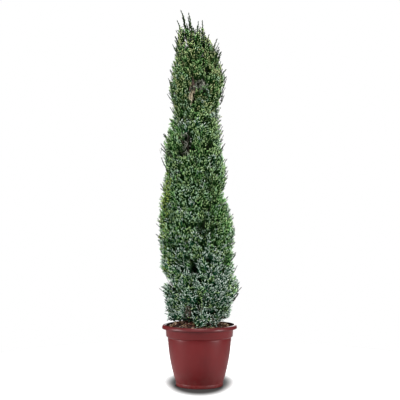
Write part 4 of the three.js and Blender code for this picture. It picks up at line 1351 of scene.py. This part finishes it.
def branchlet(root, direction, forward, length, radius, fresh, knobs):
    """A side shoot that bends forward: a shaft, an end, and knobs in turn to its left and right."""
    def place(share):
        return root + length * (direction * share * (1 - 0.5 * share) + forward * 0.5 * share * share)

    end_tone = TIP if fresh else BASE
    shapes = [(*scale_leaf(place(0), place(SHAFT_TO), SHAFT_WIDTH * radius), BASE)]
    shapes.append((*scale_leaf(place(END_FROM), place(1), END_WIDTH * radius), end_tone))
    side = np.cross(direction, (0, 0, 1))
    for i in range(knobs):
        start = place(KNOBS_FROM + KNOBS_OVER * (i + 0.5) / knobs)
        sign = 1 if i % 2 else -1
        leaning = KNOB_AHEAD * direction + sign * KNOB_ASIDE * side + (0, 0, spray_dice.normal(0, KNOB_STRAY))
        shapes.append((*scale_leaf(start, start + KNOB_LENGTH * length * leaning, radius), BASE))
    return shapes


# %% Spray templates
FRESH_FROM = 0.48  # how far up a spray its shoots are fresh


def feather(shoots, thickness, knobs, spread=0.72, fullness=0.4):
    """A spray one unit long along y: an axis, and branchlets in turn to the left and to the right."""
    axis = Path([(0, 0, 0), (spray_dice.normal(0, 0.03), 0.45, 0.03), (spray_dice.normal(0, 0.02), 0.84, 0)])
    shapes = [(*cord(axis.at(np.array([0, 0.5, 1])), (0.7 * thickness, 0.6 * thickness)), BASE)]
    for i in range(shoots):
        share = 0.1 + 0.8 * i / (shoots - 1) + spray_dice.normal(0, 0.02)
        sign = 1 if i % 2 else -1
        length = fullness * (1.12 - 0.45 * share) * (0.7 + 0.3 * min(1, share / 0.25))
        length *= spray_dice.uniform(0.84, 1.16)
        angle = sign * (spread + spray_dice.normal(0, 0.09))
        lift = spray_dice.normal(0, 0.3)
        ends = turned(angle, lift), turned(0.65 * angle, lift)
        shapes += branchlet(axis.at(share), *ends, length, thickness, share > FRESH_FROM, knobs)
    ahead = np.array([spray_dice.normal(0, 0.1), 1, spray_dice.normal(0, 0.1)])
    return stack_shapes(shapes + branchlet(axis.at(0.86), ahead, ahead, 0.3, thickness, True, knobs))


def beaded_sprig(shoots, thickness):
    """A lone leading shoot: an axis with short knobbly side shoots held close to it on all sides."""
    axis = Path([(0, 0, 0), (0.03, 0.4, 0.02), (-0.02, 0.9, 0)])
    shapes = [(*cord(axis.at(np.array([0, 0.4, 0.8, 1])), thickness * np.array((0.9, 0.7, 0.5))), BASE)]
    for i in range(shoots):
        share = 0.12 + 0.8 * i / (shoots - 1)
        around = 2.4 * i
        out = np.array([math.cos(around), 0, 0.7 * math.sin(around)])
        direction = np.array([0, 0.86, 0]) + 0.5 * out
        forward = np.array([0, 1.0, 0]) + 0.2 * out
        length = 0.24 * (1.25 - share) * spray_dice.uniform(0.75, 1.2)
        shapes += branchlet(axis.at(share), direction, forward, length, thickness, i % 3 == 0, 1)
    ahead = np.array([0, 1.0, 0])
    return stack_shapes(shapes + branchlet(axis.at(0.9), ahead, ahead, 0.2, 0.9 * thickness, False, 2))


SPRAY_THICKNESS = 0.0305  # a shoot's radius, as a share of its spray's length
full_sprays = [feather(shoots, SPRAY_THICKNESS, 2) for shoots in (8, 7, 8, 7)]
plain_sprays = [feather(5, 1.3 * SPRAY_THICKNESS, 1), feather(6, 1.25 * SPRAY_THICKNESS, 1)]
coarse_sprays = [feather(6, 1.6 * SPRAY_THICKNESS, 0, fullness=0.46)]
slim_sprays = [beaded_sprig(9, 1.1 * SPRAY_THICKNESS), beaded_sprig(11, 1.05 * SPRAY_THICKNESS)]
bare_sprays = [feather(5, 0.018, 1, 0.62, 0.5), feather(4, 0.022, 0, 0.5, 0.5)]
spikes = [beaded_sprig(8, 1.7 * SPRAY_THICKNESS), beaded_sprig(7, 1.55 * SPRAY_THICKNESS)]
spray_shapes = full_sprays + plain_sprays + coarse_sprays + slim_sprays + bare_sprays + spikes
FULL, PLAIN, COARSE, SLIM, BARE, SPIKES = (0, 1, 2, 3), (4, 5), (6,), (7, 8), (9, 10), (11, 12)
print("faces in each spray:", [len(shape[1]) for shape in spray_shapes])

# %% [markdown]
# ## Where the sprays go
#
# Foliage covers a tree like a coat: dense at the skin, thinner inside. So the tips are placed first. Many
# places are thrown at the crown's outline and at the shade under it, and one is kept only where no kept tip
# is too near, which spreads them evenly without a grid. Each kept tip belongs to the plume in whose space it
# lies. The spray then hangs back from its tip, against its direction of growth, which leans out from the
# plume's own middle: steeply upright at the top of the tree, and almost level in the skirt over the soil.
#
# An even coat would look clipped, so single shoots stand ahead of the rest all round, and the leading shoots
# of the top and the lone sprigs at the edge, by which one knows this very tree, are set one by one.

# %% Throw tips at the crown
growth = np.random.default_rng(SEED + 4)
THROWN = 130000
WIDEST_REACH = 155 * MM  # the more the crown reaches out at a height, the more places are thrown there
SKIN, SHADE, DEEPEST = 12 * MM, 44 * MM, 122 * MM  # how deep the skin, the shade and all the tips reach
SKIN_CHANCE = 0.45  # the share of the places that is thrown at the skin
TOP_THINS_FROM, TOP_THINS_TO = 1270 * MM, 1360 * MM
TOP_INSET = 7 * MM  # above there the coat stays this far inside the outline, which only lone shoots reach
TOP_SPRIGS_FROM = 1434 * MM  # above this only shoots that are set one by one stand up
# Height, and how far the tips go to the front and to the back: the very top is flatter than it is wide.
TOP_SIDES = MM * np.array([(1300, 160), (1350, 88), (1434, 22)])
TOP_SIDES_STRAY = 7 * MM
WINDOW_CLEARANCE = 2 * MM
INSIDE_OVERHANG = 12 * MM  # how far a tip may stand into the bare inside
ORDER_STRAY = 14 * MM  # tips near the skin come first, but not strictly

heights = growth.uniform(LOWEST_LEAF, TREE_TOP, THROWN)
keep = growth.uniform(0, WIDEST_REACH, THROWN) < at(CROWN, heights)
heights = heights[keep]
turns = growth.uniform(0, 2 * math.pi, len(heights))
in_skin = growth.uniform(0, 1, len(heights)) < SKIN_CHANCE
skin_depths, inner_depths = (growth.uniform(*span, len(heights)) for span in ((0, SKIN), (SKIN, DEEPEST)))
reaches = np.maximum(0, at(CROWN, heights) - np.where(in_skin, skin_depths, inner_depths))
tips = crown_axis(heights) + towards(turns) * reaches[:, None]
owners = owners_of(tips)
cover = np.minimum(outline_depth(tips), hollow_depth(tips))
cover -= TOP_INSET * smoothstep(tips[:, 2], TOP_THINS_FROM, TOP_THINS_TO)
usable = (owners >= 0) & (cover > 0) & (window_depth(tips) > WINDOW_CLEARANCE) & (above_edge(tips) > 0)
usable &= tips[:, 2] < TOP_SPRIGS_FROM
side_stray = growth.uniform(-TOP_SIDES_STRAY, TOP_SIDES_STRAY, len(tips))
usable &= np.abs(tips[:, 1]) < at(TOP_SIDES, tips[:, 2]) + side_stray
usable &= inward_depth(tips, owners) > -INSIDE_OVERHANG
tips, owners, cover = tips[usable], owners[usable], cover[usable]
order = np.argsort(cover + growth.uniform(0, ORDER_STRAY, len(cover)))
tips, owners, cover = tips[order], owners[order], cover[order]
print(len(tips), "places tried")

# %% Keep the tips that have room
SKIN_SPACING, SHADE_SPACING, DEEP_SPACING = 13 * MM, 19 * MM, 25 * MM
TOP_CROWDS_TO = 0.86  # tips stand this much closer together at the top, where the sprays are small
TOP_CROWDS_FROM = 1050 * MM
CELL = 15 * MM  # kept tips are filed by the cell that they lie in, so that only near ones are compared
taken, kept = {}, []


def spacing_at(depth):
    """How far apart tips stand at a depth below the crown's skin."""
    return np.interp(
        depth, (0, SKIN, SHADE, DEEPEST), (SKIN_SPACING, SKIN_SPACING, SHADE_SPACING, DEEP_SPACING)
    )


def has_room(place, cell, spacing):
    """Whether no kept tip stands nearer to a place than the spacing."""
    span = math.ceil(spacing / CELL)
    steps = range(-span, span + 1)
    for dx, dy, dz in itertools.product(steps, steps, steps):
        for other in taken.get((cell[0] + dx, cell[1] + dy, cell[2] + dz), ()):
            if math.dist(place, other) < spacing:
                return False
    return True


crowding = smoothstep(tips[:, 2], TOP_CROWDS_FROM, TOP_THINS_FROM)
spacings = spacing_at(cover) * mix_between(1, TOP_CROWDS_TO, crowding)
cells = np.floor(tips / CELL).astype(int)
for i, (place, cell, spacing) in enumerate(zip(tips.tolist(), cells.tolist(), spacings.tolist())):
    if has_room(place, cell, spacing):
        taken.setdefault(tuple(cell), []).append(place)
        kept.append(i)
tips, owners, cover = tips[kept], owners[kept], cover[kept]
print(len(tips), "tips kept,", int((cover < SKIN).sum()), "of them in the skin")

# %% The way each spray grows
# Height in metres, and a spray's lean from upright in degrees.
LEAN = np.array([
    (0.227, 78), (0.29, 66), (0.36, 56), (0.50, 48), (0.80, 44), (1.10, 41), (1.30, 34), (1.51, 18),
])
LEAN_STRAY, WAY_STRAY, FACE_STRAY = 13, 0.13, 0.6
FROM_PLUME, FROM_TRUNK = 0.62, 0.38  # a spray points away from its plume's middle, and from the trunk
AIM_BELOW = 0.03  # the middle from which it points away lies this far below its tip
# Height and a spray's length, in metres.
SPRAY_LENGTH = np.array([(0.227, 0.053), (0.60, 0.050), (1.05, 0.046), (1.27, 0.041), (1.51, 0.038)])
# Where the skin stands out further: azimuth in degrees, height, half width in degrees, half height, by.
SWELLS = [(-90, 478, 34, 34, 13), (90, 590, 34, 44, 12), (90, 1095, 34, 66, 10), (90, 412, 34, 26, 10)]


def swelling_at(points):
    """How much further than elsewhere the skin stands out at each point."""
    azimuths = np.degrees(np.arctan2(points[:, 0] - at(CROWN, points[:, 2], 2), -points[:, 1]))
    swelling = np.zeros(len(points))
    for azimuth, height, half_width, half_height, by in SWELLS:
        shares = np.hypot((azimuths - azimuth) / half_width, (points[:, 2] / MM - height) / half_height)
        swelling = np.maximum(swelling, by * MM * (1 - smoothstep(shares, 0.4, 1)))
    return swelling


def lengths_of(vectors):
    """The length of each vector, as a column."""
    return np.linalg.norm(vectors, axis=1, keepdims=True)


def unit(vectors):
    """The vectors at a length of one."""
    return vectors / np.maximum(lengths_of(vectors), 1e-6)


def leaning_out(outs, leans):
    """Directions that lean from upright towards level ones, each by its own angle."""
    return outs * np.sin(leans)[:, None] + np.array([0, 0, 1]) * np.cos(leans)[:, None]


def growth_at(points, owners):
    """The direction in which a spray with its tip here grows, and the way out that its face turns to."""
    below = points[:, 2] - AIM_BELOW
    centres = np.stack([space_centre(plume, below) for plume in plumes])[owners, np.arange(len(points))]
    from_plume = (points - centres) * (1, 1, 0)
    from_trunk = (points - trunk_centre(points[:, 2])) * (1, 1, 0)
    level = unit(FROM_PLUME * unit(from_plume) + FROM_TRUNK * unit(from_trunk))
    leans = np.radians(at(LEAN, points[:, 2]) + growth.normal(0, LEAN_STRAY, len(points)))
    along = leaning_out(level, leans)
    along += growth.normal(0, WAY_STRAY, along.shape)
    facing = from_trunk + growth.normal(0, FACE_STRAY, along.shape) * lengths_of(from_trunk)
    return unit(along), unit(facing)


# %% Turn the sprays and keep those that fit
OVERHANG = 14 * MM  # how far a tip may stand out of the outline
BORDER = 9 * MM  # how far a spray may lean over its neighbour's border
HOLLOW_OVERHANG, SKIRT_OVERHANG = 2 * MM, 4 * MM
RAG = 6 * MM  # how uneven the skin is
STRAYS, STRAY_REACH = 0.16, 13 * MM  # the share of the skin that stands out further, and how far
SPRAY_SHRINKS = (1, 0.82, 0.66)  # tried in turn until the spray fits
LENGTHS_STRAY, SHADE_LENGTH = (0.84, 1.2), 1.15
# Places in a spray at which its room is tested, as shares of its length back from its tip.
PROBES = np.array([(0, 0, 0), (0.2, -0.3, 0), (-0.2, -0.4, 0), (0, -0.75, 0)])
along, facing = growth_at(tips, owners)
lengths = at(SPRAY_LENGTH, tips[:, 2]) * growth.uniform(*LENGTHS_STRAY, len(tips))
lengths = np.where(cover > SKIN, SHADE_LENGTH * lengths, lengths)
out_by = growth.uniform(0, RAG, len(tips))
out_by += (growth.uniform(0, 1, len(tips)) < STRAYS) * growth.uniform(0.2, 1, len(tips)) * STRAY_REACH
out_by += swelling_at(tips)
out_by *= cover < SKIN
tips = tips + along * out_by[:, None]
fitted = np.zeros(len(tips))
for shrink in SPRAY_SHRINKS:
    waiting = np.flatnonzero(fitted == 0)
    frames = frames_from(tips[waiting], along[waiting], facing[waiting], lengths[waiting] * shrink)
    fits = np.ones(len(waiting), bool)
    for probe in PROBES:
        places = np.einsum("nij,j->ni", frames[:, :, :3], probe) + frames[:, :, 3]
        fits &= (places[:, 2] > LOWEST_LEAF) & (places[:, 2] < TREE_TOP)
        fits &= outline_depth(places) + swelling_at(places) > -OVERHANG
        fits &= hollow_depth(places) > -HOLLOW_OVERHANG
        fits &= border_depth(places, owners[waiting]) > -BORDER
        fits &= (window_depth(places) > 0) & (above_edge(places) > -SKIRT_OVERHANG)
    fitted[waiting[fits]] = shrink
grown = fitted > 0
tips, owners, cover = tips[grown], owners[grown], cover[grown]
along, facing, lengths = along[grown], facing[grown], (lengths * fitted)[grown]
roots = tips - along * lengths[:, None]
print(len(tips), "sprays grow,", int((~grown).sum()), "had no room")

# %% Shoots that are set one by one
hand_set = []


def set_shoots(tips, along, facing, lengths, shapes, green):
    """Notes shoots that stand just where they are told, with their shapes and the name of their colour."""
    along = along / lengths_of(along)
    hand_set.append((tips, along, facing, lengths, np.resize(shapes, len(tips)), np.full(len(tips), green)))
    print(len(tips), "shoots set:", green)


# Lone sprigs that stand out of the column: azimuth in degrees, height of the tip, its reach from the crown's
# axis, and the shoot's lean from upright.
SPRIGS = np.array([
    (-90, 1403, 70, 26), (-84, 1352, 84, 38), (-90, 1302, 94, 42), (-88, 1250, 108, 40),
    (-90, 1216, 104, 30), (-90, 1184, 110, 36), (88, 1318, 98, 30), (90, 1268, 118, 44),
    (94, 1240, 114, 40), (-90, 1066, 104, 40), (-88, 1014, 108, 40), (90, 1062, 104, 36),
    (92, 1020, 118, 38), (86, 872, 126, 40), (90, 828, 131, 42), (90, 752, 137, 44), (92, 702, 148, 44),
    (88, 668, 156, 46), (90, 600, 158, 46), (86, 570, 158, 46), (90, 522, 150, 46), (90, 410, 160, 40),
    (94, 388, 156, 52), (86, 366, 152, 60), (-90, 392, 158, 56), (-90, 700, 140, 42),
    (-88, 820, 128, 40), (96, 1350, 88, 26), (84, 1318, 96, 28), (90, 1290, 108, 38),
    (-92, 1330, 88, 36), (-90, 1278, 102, 40), (90, 1340, 102, 30), (-90, 966, 128, 38),
    (-88, 946, 126, 48), (-92, 926, 120, 34), (-90, 906, 122, 50),
], float)
# Height and a sprig's length, in metres.
SPRIG_LENGTHS = np.array([(0.3, 0.056), (1.2, 0.060), (1.51, 0.074)])
heights = SPRIGS[:, 1] * MM
outs = towards(np.radians(SPRIGS[:, 0]))
sprig_tips = crown_axis(heights) + outs * (SPRIGS[:, 2] * MM)[:, None]
sprig_along = leaning_out(outs, np.radians(SPRIGS[:, 3]))
set_shoots(sprig_tips, sprig_along, outs, at(SPRIG_LENGTHS, heights), SPIKES, "sprig")

# The leading shoots of the very top: x and y of the tip, its height, the lean to the right and to the back
# from upright, and the length.
LEADERS = np.array([
    (-76, 0, 1511, -16, 0, 60), (-64, 4, 1470, -12, 4, 62), (-44, 2, 1501, -7, 0, 62),
    (-37, -4, 1456, -4, -4, 62), (-91, -3, 1468, -18, 0, 52), (-82, 0, 1432, -16, 4, 55),
    (-96, 2, 1428, -24, 0, 52), (-97, 0, 1402, -22, 3, 50), (-4, 3, 1466, 8, 0, 46), (12, -2, 1468, 2, 0, 52),
    (40, 0, 1411, 18, 3, 52), (73, 0, 1393, 24, 0, 70), (80, 4, 1360, 22, 0, 56), (57, -3, 1360, 20, 0, 52),
    (-55, -6, 1446, -9, -6, 54), (-24, 8, 1440, 0, 8, 52),
    (0, -8, 1436, 5, -6, 50), (22, 6, 1424, 9, 4, 50), (-52, 22, 1462, -6, 16, 56),
    (-30, 34, 1436, 0, 22, 54),
    (-64, -24, 1450, -10, -18, 54), (-40, -34, 1430, -3, -22, 54), (-8, -26, 1440, 5, -16, 54),
    (-10, 30, 1434, 6, 18, 54), (-70, 12, 1486, -12, 10, 54), (-46, -14, 1480, -6, -10, 54),
    (-30, 18, 1452, 2, 14, 56), (-34, -22, 1450, 2, -16, 56), (-56, 40, 1420, -8, 28, 54),
    (-24, -46, 1410, 2, -28, 54), (8, 42, 1404, 10, 26, 54), (-70, -42, 1404, -14, -26, 54),
], float)
right, back = np.radians(LEADERS[:, 3]), np.radians(LEADERS[:, 4])
leader_along = np.column_stack([np.sin(right), np.sin(back), np.cos(right)])
leader_facing = np.tile((0.3, -1.0, 0.1), (len(LEADERS), 1))
set_shoots(LEADERS[:, :3] * MM, leader_along, leader_facing, LEADERS[:, 5] * MM, SPIKES, "sprig")

# %% Whiskers all round
# A clipped look would be wrong: all over the column single shoots are ahead of the rest.
WHISKERS, WHISKER_HEIGHTS = 420, (300 * MM, 1400 * MM)
WHISKER_OUT, WHISKER_LENGTH = (3 * MM, 17 * MM), (36 * MM, 50 * MM)
WHISKER_RISE, WHISKER_STRAY = 6, 8  # degrees by which they are more upright than the sprays, and stray
WHISKER_CLEARANCE = 4 * MM
heights = growth.uniform(*WHISKER_HEIGHTS, WHISKERS)
outs = towards(growth.uniform(0, 2 * math.pi, WHISKERS))
reaches = at(CROWN, heights) + growth.uniform(*WHISKER_OUT, WHISKERS)
whisker_tips = crown_axis(heights) + outs * reaches[:, None]
leans = at(LEAN, heights) - WHISKER_RISE + growth.normal(0, WHISKER_STRAY, WHISKERS)
whisker_along = leaning_out(outs, np.radians(leans))
whisker_roots = whisker_tips - WHISKER_LENGTH[1] * whisker_along
free = (hollow_depth(whisker_tips) > WHISKER_CLEARANCE) & (window_depth(whisker_tips) > 0)
free &= np.abs(whisker_tips[:, 1]) < at(TOP_SIDES, heights) + WHISKER_CLEARANCE
free &= window_depth(whisker_roots) > WHISKER_CLEARANCE
whisker_lengths = growth.uniform(*WHISKER_LENGTH, WHISKERS)
set_shoots(whisker_tips[free], whisker_along[free], outs[free], whisker_lengths[free], SPIKES, "sprig")

# %% Dead shoots and bare twigs
# Places on the front where something has died back: x, height, half width, half height, how deep in the
# crown, how many shoots, the way they point (x, y, z), how far they stray from it, their shapes, and the name
# of their colour.
DEAD_PLACES = [
    (-39, 1120, 8, 24, -9, 6, (-0.24, -0.12, -1), 0.06, BARE, "dead"),
    (-24, 1204, 6, 18, 8, 6, (0.1, -0.3, 1), 0.2, SLIM, "dry"),
    (16, 1192, 26, 17, 10, 7, (0.8, -0.5, 0.45), 0.35, BARE, "bare"),
    (-52, 957, 13, 48, 20, 9, (0.2, -0.5, 0.8), 0.5, BARE, "bare"),
    (-146, 940, 10, 26, 34, 8, (-0.8, -0.2, 0.8), 0.3, BARE, "bare"),
    (-78, 1053, 13, 12, 16, 5, (0.1, -0.5, 0.8), 0.5, BARE, "bare"),
    (-40, 300, 14, 26, 10, 12, (0.2, -0.5, 0.8), 0.6, BARE, "dry"),
    (60, 276, 24, 16, 16, 14, (0.4, -0.5, 0.5), 0.5, BARE, "dry"),
    (8, 318, 10, 30, 24, 8, (0.1, -0.4, 0.9), 0.4, BARE, "bare"),
]
DEAD_LENGTH, DEAD_DEPTH_STRAY, LEAST_FRONT = (28 * MM, 48 * MM), 8, 20 * MM
for x, height, half_width, half_height, depth, count, points_to, stray, shapes, colour in DEAD_PLACES:
    spots = growth.uniform(-1, 1, (count, 2)) * (half_width * MM, half_height * MM)
    heights, sideways = height * MM + spots[:, 1], x * MM + spots[:, 0]
    across = sideways - at(CROWN, heights, 2)
    front = -np.sqrt(np.maximum(at(CROWN, heights) ** 2 - across**2, LEAST_FRONT**2))
    depths = depth + growth.uniform(-DEAD_DEPTH_STRAY, DEAD_DEPTH_STRAY, count)
    dead_tips = np.column_stack([sideways, front + depths * MM, heights])
    dead_along = np.array(points_to) + growth.normal(0, stray, (count, 3))
    dead_facing = growth.normal(0, FACE_STRAY, (count, 3)) + (0, -1, 0)
    set_shoots(dead_tips, dead_along, dead_facing, growth.uniform(*DEAD_LENGTH, count), shapes, colour)

# %% Every shoot in one list
thrown = len(tips)
set_tips, set_along, set_facing, set_lengths, set_shapes, set_greens = map(np.concatenate, zip(*hand_set))
set_roots = set_tips - set_along * set_lengths[:, None]
nearest = [np.argmin(((roots - place) ** 2).sum(axis=1)) for place in set_roots]
tips, along = np.concatenate([tips, set_tips]), np.concatenate([along, set_along])
facing, lengths = np.concatenate([facing, set_facing]), np.concatenate([lengths, set_lengths])
owners = np.concatenate([owners, owners[nearest]])
roots = tips - along * lengths[:, None]
print(len(tips), "shoots in all")

# %% [markdown]
# ## Twigs that carry the sprays
#
# Nothing hangs in the air on a tree. In each plume some of the sprays end a real branch: it leaves the limb
# below them and curves up to their root. Every other spray gets a short twig to the nearest of those
# branches. Branches and twigs of a tier are one mesh, with four sides to a branch and three to a twig.

# %% Grow branches and twigs
BRANCH_SPACING = 40 * MM
BRANCH_RADII = (1.7 * MM, 1.35 * MM, 1.1 * MM, 0.9 * MM, 0.8 * MM)
TWIG_RADII = (0.75 * MM, 0.65 * MM)
BRANCHES_FROM, STEMS_FROM, BRANCHES_TO = 0.12, 0.04, 0.995  # on a limb or on the leader's stem, by length
FORK_NODES = 60  # places on a limb at which a branch may leave it
BRANCH_CLIMB = 0.9  # a branch rises by this share of the way that it goes out
TWIG_DROP, TWIG_OVERLAP = 3 * MM, 1 * MM  # a twig starts below its spray, and ends just inside it


def curve_between(start, end, arrives, points, slack=0.45):
    """A limb's curve that leaves its start, rises and comes into its end along a direction."""
    share = np.linspace(0, 1, points)[:, None]
    pull = end - arrives * slack * np.linalg.norm(end - start)
    return (1 - share) ** 2 * start + 2 * share * (1 - share) * pull + share**2 * end


def branch_plume(plume, spray_roots, spray_along):
    """The twigs of one plume as cord shapes, each from the limb or a branch to the root of a spray."""
    first = STEMS_FROM if plume["leads"] else BRANCHES_FROM
    limb = plume["path"].at(np.linspace(first, BRANCHES_TO, FORK_NODES))
    shapes, branch_ends = [], []
    for i in np.argsort(-spray_roots[:, 2]):
        if all(np.linalg.norm(spray_roots[i] - spray_roots[j]) > BRANCH_SPACING for j in branch_ends):
            branch_ends.append(i)
    forks = [limb]
    for i in branch_ends:
        sideways = np.linalg.norm((limb - spray_roots[i])[:, :2], axis=1)
        rise = spray_roots[i][2] - limb[:, 2]
        start = limb[np.argmin(np.abs(rise - BRANCH_CLIMB * sideways) + 0.3 * sideways)]
        path = curve_between(start, spray_roots[i], spray_along[i], 6)
        shapes.append((*cord(path, BRANCH_RADII, sides=4), 0))
        forks.append(path[1:-1])
    places = np.concatenate(forks)
    for i in set(range(len(spray_roots))) - set(branch_ends):
        offset = places - spray_roots[i]
        cost = np.linalg.norm(offset, axis=1) + 1.5 * np.maximum(0, offset[:, 2] + TWIG_DROP)
        end = spray_roots[i] + TWIG_OVERLAP * spray_along[i]
        path = curve_between(places[np.argmin(cost)], end, spray_along[i], 3)
        shapes.append((*cord(path, TWIG_RADII), 1))
    return shapes


# %% Draw the branches and twigs of each tier
wood_finishes = [
    new_finish("Young bark", tint(50, 44, 33), 0.85, 0.25)[0],
    new_finish("Green twig", tint(40, 54, 28), 0.75, 0.25)[0],
]
for tier in TIER_NAMES:
    shapes = []
    for k, plume in enumerate(plumes):
        if plume["tier"] != tier:
            continue
        shapes += branch_plume(plume, roots[owners == k], along[owners == k])
    points, faces, tones = stack_shapes(shapes)
    stay = np.array([[1.0, 0, 0, 0], [0, 1, 0, 0], [0, 0, 1, 0]])[None]
    twigs = mesh_from_copies(f"twigs_{tier}", [(points, faces, tones, stay, np.zeros(1, int))])
    dress(twigs, "bark", wood_finishes)

# %% [markdown]
# ## Greens
#
# The crown isn't one green. Old foliage low down is grey blue with wax, the leading shoots at the top are a
# fresh yellow green, one edge has turned olive in the sun and the other is brighter, and round the bare limb
# the sprays are dead and brown. These colours have a place on the tree, so they are plain colours dealt out
# spray by spray: by height, by side and by soft patches of noise. The deeper a spray stands below the
# crown's outline, the darker its green, as painted shade. Within a spray the fresh ends are lighter than the
# older shoots, and the two are painted far apart: painted highlights on the ends, painted shade on the
# older shoots. That is what makes the foliage look crisp from a few steps away, where no single shoot can be
# seen.

# %% Foliage finishes
# The colour of the older shoots, painted dark as painted shade, and of the fresh ends, which are really paler
# and are painted lighter still as painted highlights.
GREENS = {
    "fresh": (tint(34, 60, 11), tint(224, 236, 168)),
    "leaf": (tint(16, 54, 6), tint(198, 234, 162)),
    "bright": (tint(13, 52, 8), tint(146, 204, 124)),
    "blue": (tint(14, 52, 14), tint(196, 236, 192)),
    "waxy": (tint(30, 80, 52), tint(238, 255, 242)),
    "olive": (tint(18, 42, 3), tint(188, 218, 108)),
    # Painted shade: the next two greens are for sprays inside the crown, the second for the deepest ones.
    "shade": (tint(8, 32, 4), tint(38, 74, 22)),
    "deep": (tint(5, 18, 2), tint(11, 29, 6)),
    "dead": (tint(166, 154, 128), tint(214, 204, 178)),
    "straw": (tint(120, 104, 76), tint(186, 174, 140)),
    "sprig": (tint(26, 42, 20), tint(84, 108, 62)),
    "bare": (tint(134, 140, 124), tint(210, 214, 198)),
    "dry": (tint(84, 68, 62), tint(146, 128, 118)),
}
FOLIAGE_ROUGHNESS, FOLIAGE_SHINE = 0.55, 0.1
green_names = list(GREENS)
foliage_finishes = []
for label, (older, ends_with_painted_highlight) in GREENS.items():
    for part, colour in (("older", older), ("ends", ends_with_painted_highlight)):
        finish, shader = new_finish(f"Foliage {label} {part}", colour, FOLIAGE_ROUGHNESS, FOLIAGE_SHINE)
        foliage_finishes.append(finish)


# %% Deal the greens out
# Heights are in metres, and sides in radians from the front, with the right above zero.
OLD_TO, YOUNG_FROM = (0.32, 0.64), (1.05, 1.35)
BRIGHT_SIDE, BRIGHT_WIDTH, BRIGHT_HEIGHTS = 1.15, 0.5, (0.42, 0.50, 0.76, 0.86)
OLIVE_SIDE, OLIVE_WIDTH, OLIVE_HEIGHTS = -1.25, 0.34, (0.44, 0.50, 0.80, 0.90)
# Painted shade: how far below the outline the shade green and the deep one take over.
SHADE_DEPTHS, DEEP_SHADE_DEPTHS = (12 * MM, 32 * MM), (30 * MM, 52 * MM)


def patches(points, size, offset):
    """Soft patches from 0 to 1 over the crown, a patch being about this size."""
    return 0.5 + 0.5 * np.clip(1.9 * noise_at(points, np.ones(3) / size, offset), -1, 1)


def streak(side, height, middle, width, heights):
    """From 0 to 1: how near each place is to an upright streak on one side of the crown."""
    return np.exp(-(((side - middle) / width) ** 2)) * np.interp(height, heights, (0, 1, 1, 0))


def deal_greens(points):
    """The green of each spray, as its place in the list of greens."""
    chance = np.random.default_rng(SEED + 5)
    x, y, height = points.T
    side = np.arctan2(x - at(CROWN, height, 2), -y)
    old, young = np.interp(height, OLD_TO, (1, 0)), np.interp(height, YOUNG_FROM, (0, 1))
    blueness = patches(points, 0.085, 5.0)
    right = streak(side, height, BRIGHT_SIDE, BRIGHT_WIDTH, BRIGHT_HEIGHTS)
    left = streak(side, height, OLIVE_SIDE, OLIVE_WIDTH, OLIVE_HEIGHTS)
    sunk = outline_depth(points)
    weights = {
        "leaf": np.ones(len(points)),
        "blue": 1.4 * blueness * (1 - young),
        "waxy": 5.0 * old + 0.25 * blueness * (1 - young),
        "fresh": 1.7 * young,
        "bright": 2.3 * right + 0.9 * patches(points, 0.11, 9.0) * (1 - old),
        "olive": 1.5 * left,
        "straw": 0.4 * np.interp(height, (0.235, 0.29), (1, 0)),
        # Painted shade: the deeper a spray stands below the outline, the darker its green.
        "shade": 8 * np.interp(sunk, SHADE_DEPTHS, (0, 1)),
        "deep": 18 * np.interp(sunk, DEEP_SHADE_DEPTHS, (0, 1)),
    }
    table = np.stack([weights.get(name, np.zeros(len(points))) for name in green_names])
    drawn = chance.uniform(0, 1, len(points)) * table.sum(axis=0)
    return (np.cumsum(table, axis=0) < drawn).sum(axis=0)


greens = deal_greens(tips[:thrown])
greens = np.concatenate([greens, [green_names.index(name) for name in set_greens]])
print("sprays of each green:", {name: int((greens == i).sum()) for i, name in enumerate(green_names)})


# %% Choose a shape for each spray
SLIM_HEIGHTS, SLIM_SHARES = (1.1, 1.42), (0.04, 0.5)  # the share of slim sprays in the skin grows with height


def choose_shapes(points, cover):
    """Full sprays in the skin and slim ones among them, plain ones in the shade and coarse ones below it."""
    chance = np.random.default_rng(SEED + 6)
    draw = chance.integers(0, 60, len(points))
    shapes = np.where(cover < SKIN, np.take(FULL, draw % len(FULL)), np.take(PLAIN, draw % len(PLAIN)))
    shapes = np.where(cover > SHADE, COARSE[0], shapes)
    slim = chance.uniform(0, 1, len(points)) < np.interp(points[:, 2], SLIM_HEIGHTS, SLIM_SHARES)
    return np.where(slim & (cover < SKIN), np.take(SLIM, draw % len(SLIM)), shapes)


shapes_of_sprays = np.concatenate([choose_shapes(tips[:thrown], cover), set_shapes])

# %% Join the sprays of each plume
WIDTHS_STRAY = (0.9, 1.15)
widths = lengths * growth.uniform(*WIDTHS_STRAY, len(lengths))
frames = frames_from(roots, along, facing, lengths, widths)
total = 0
for k, plume in enumerate(plumes):
    batches = []
    for shape, (points, faces, tones) in enumerate(spray_shapes):
        members = (owners == k) & (shapes_of_sprays == shape)
        batches.append((points, faces, tones, frames[members], 2 * greens[members]))
    spray_piece = mesh_from_copies(f"sprays_{plume['label']}", batches)
    total += dress(spray_piece, "foliage", foliage_finishes, f"foliage_{plume['label']}")
print("foliage in all:", total, "triangles")

# %% [markdown]
# ## Finish
#
# Both boxes are printed, the imported model's and the dressed plant's, one after the other. The dressed
# plant has to stay the size of the imported model.

# %% Sizes and the end
size = {"cad": cad_box, "visual": [list(corner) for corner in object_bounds()]}
print("box of the packed model", np.round(size["cad"], 3).tolist())
print("box of the dressed model", np.round(size["visual"], 3).tolist())
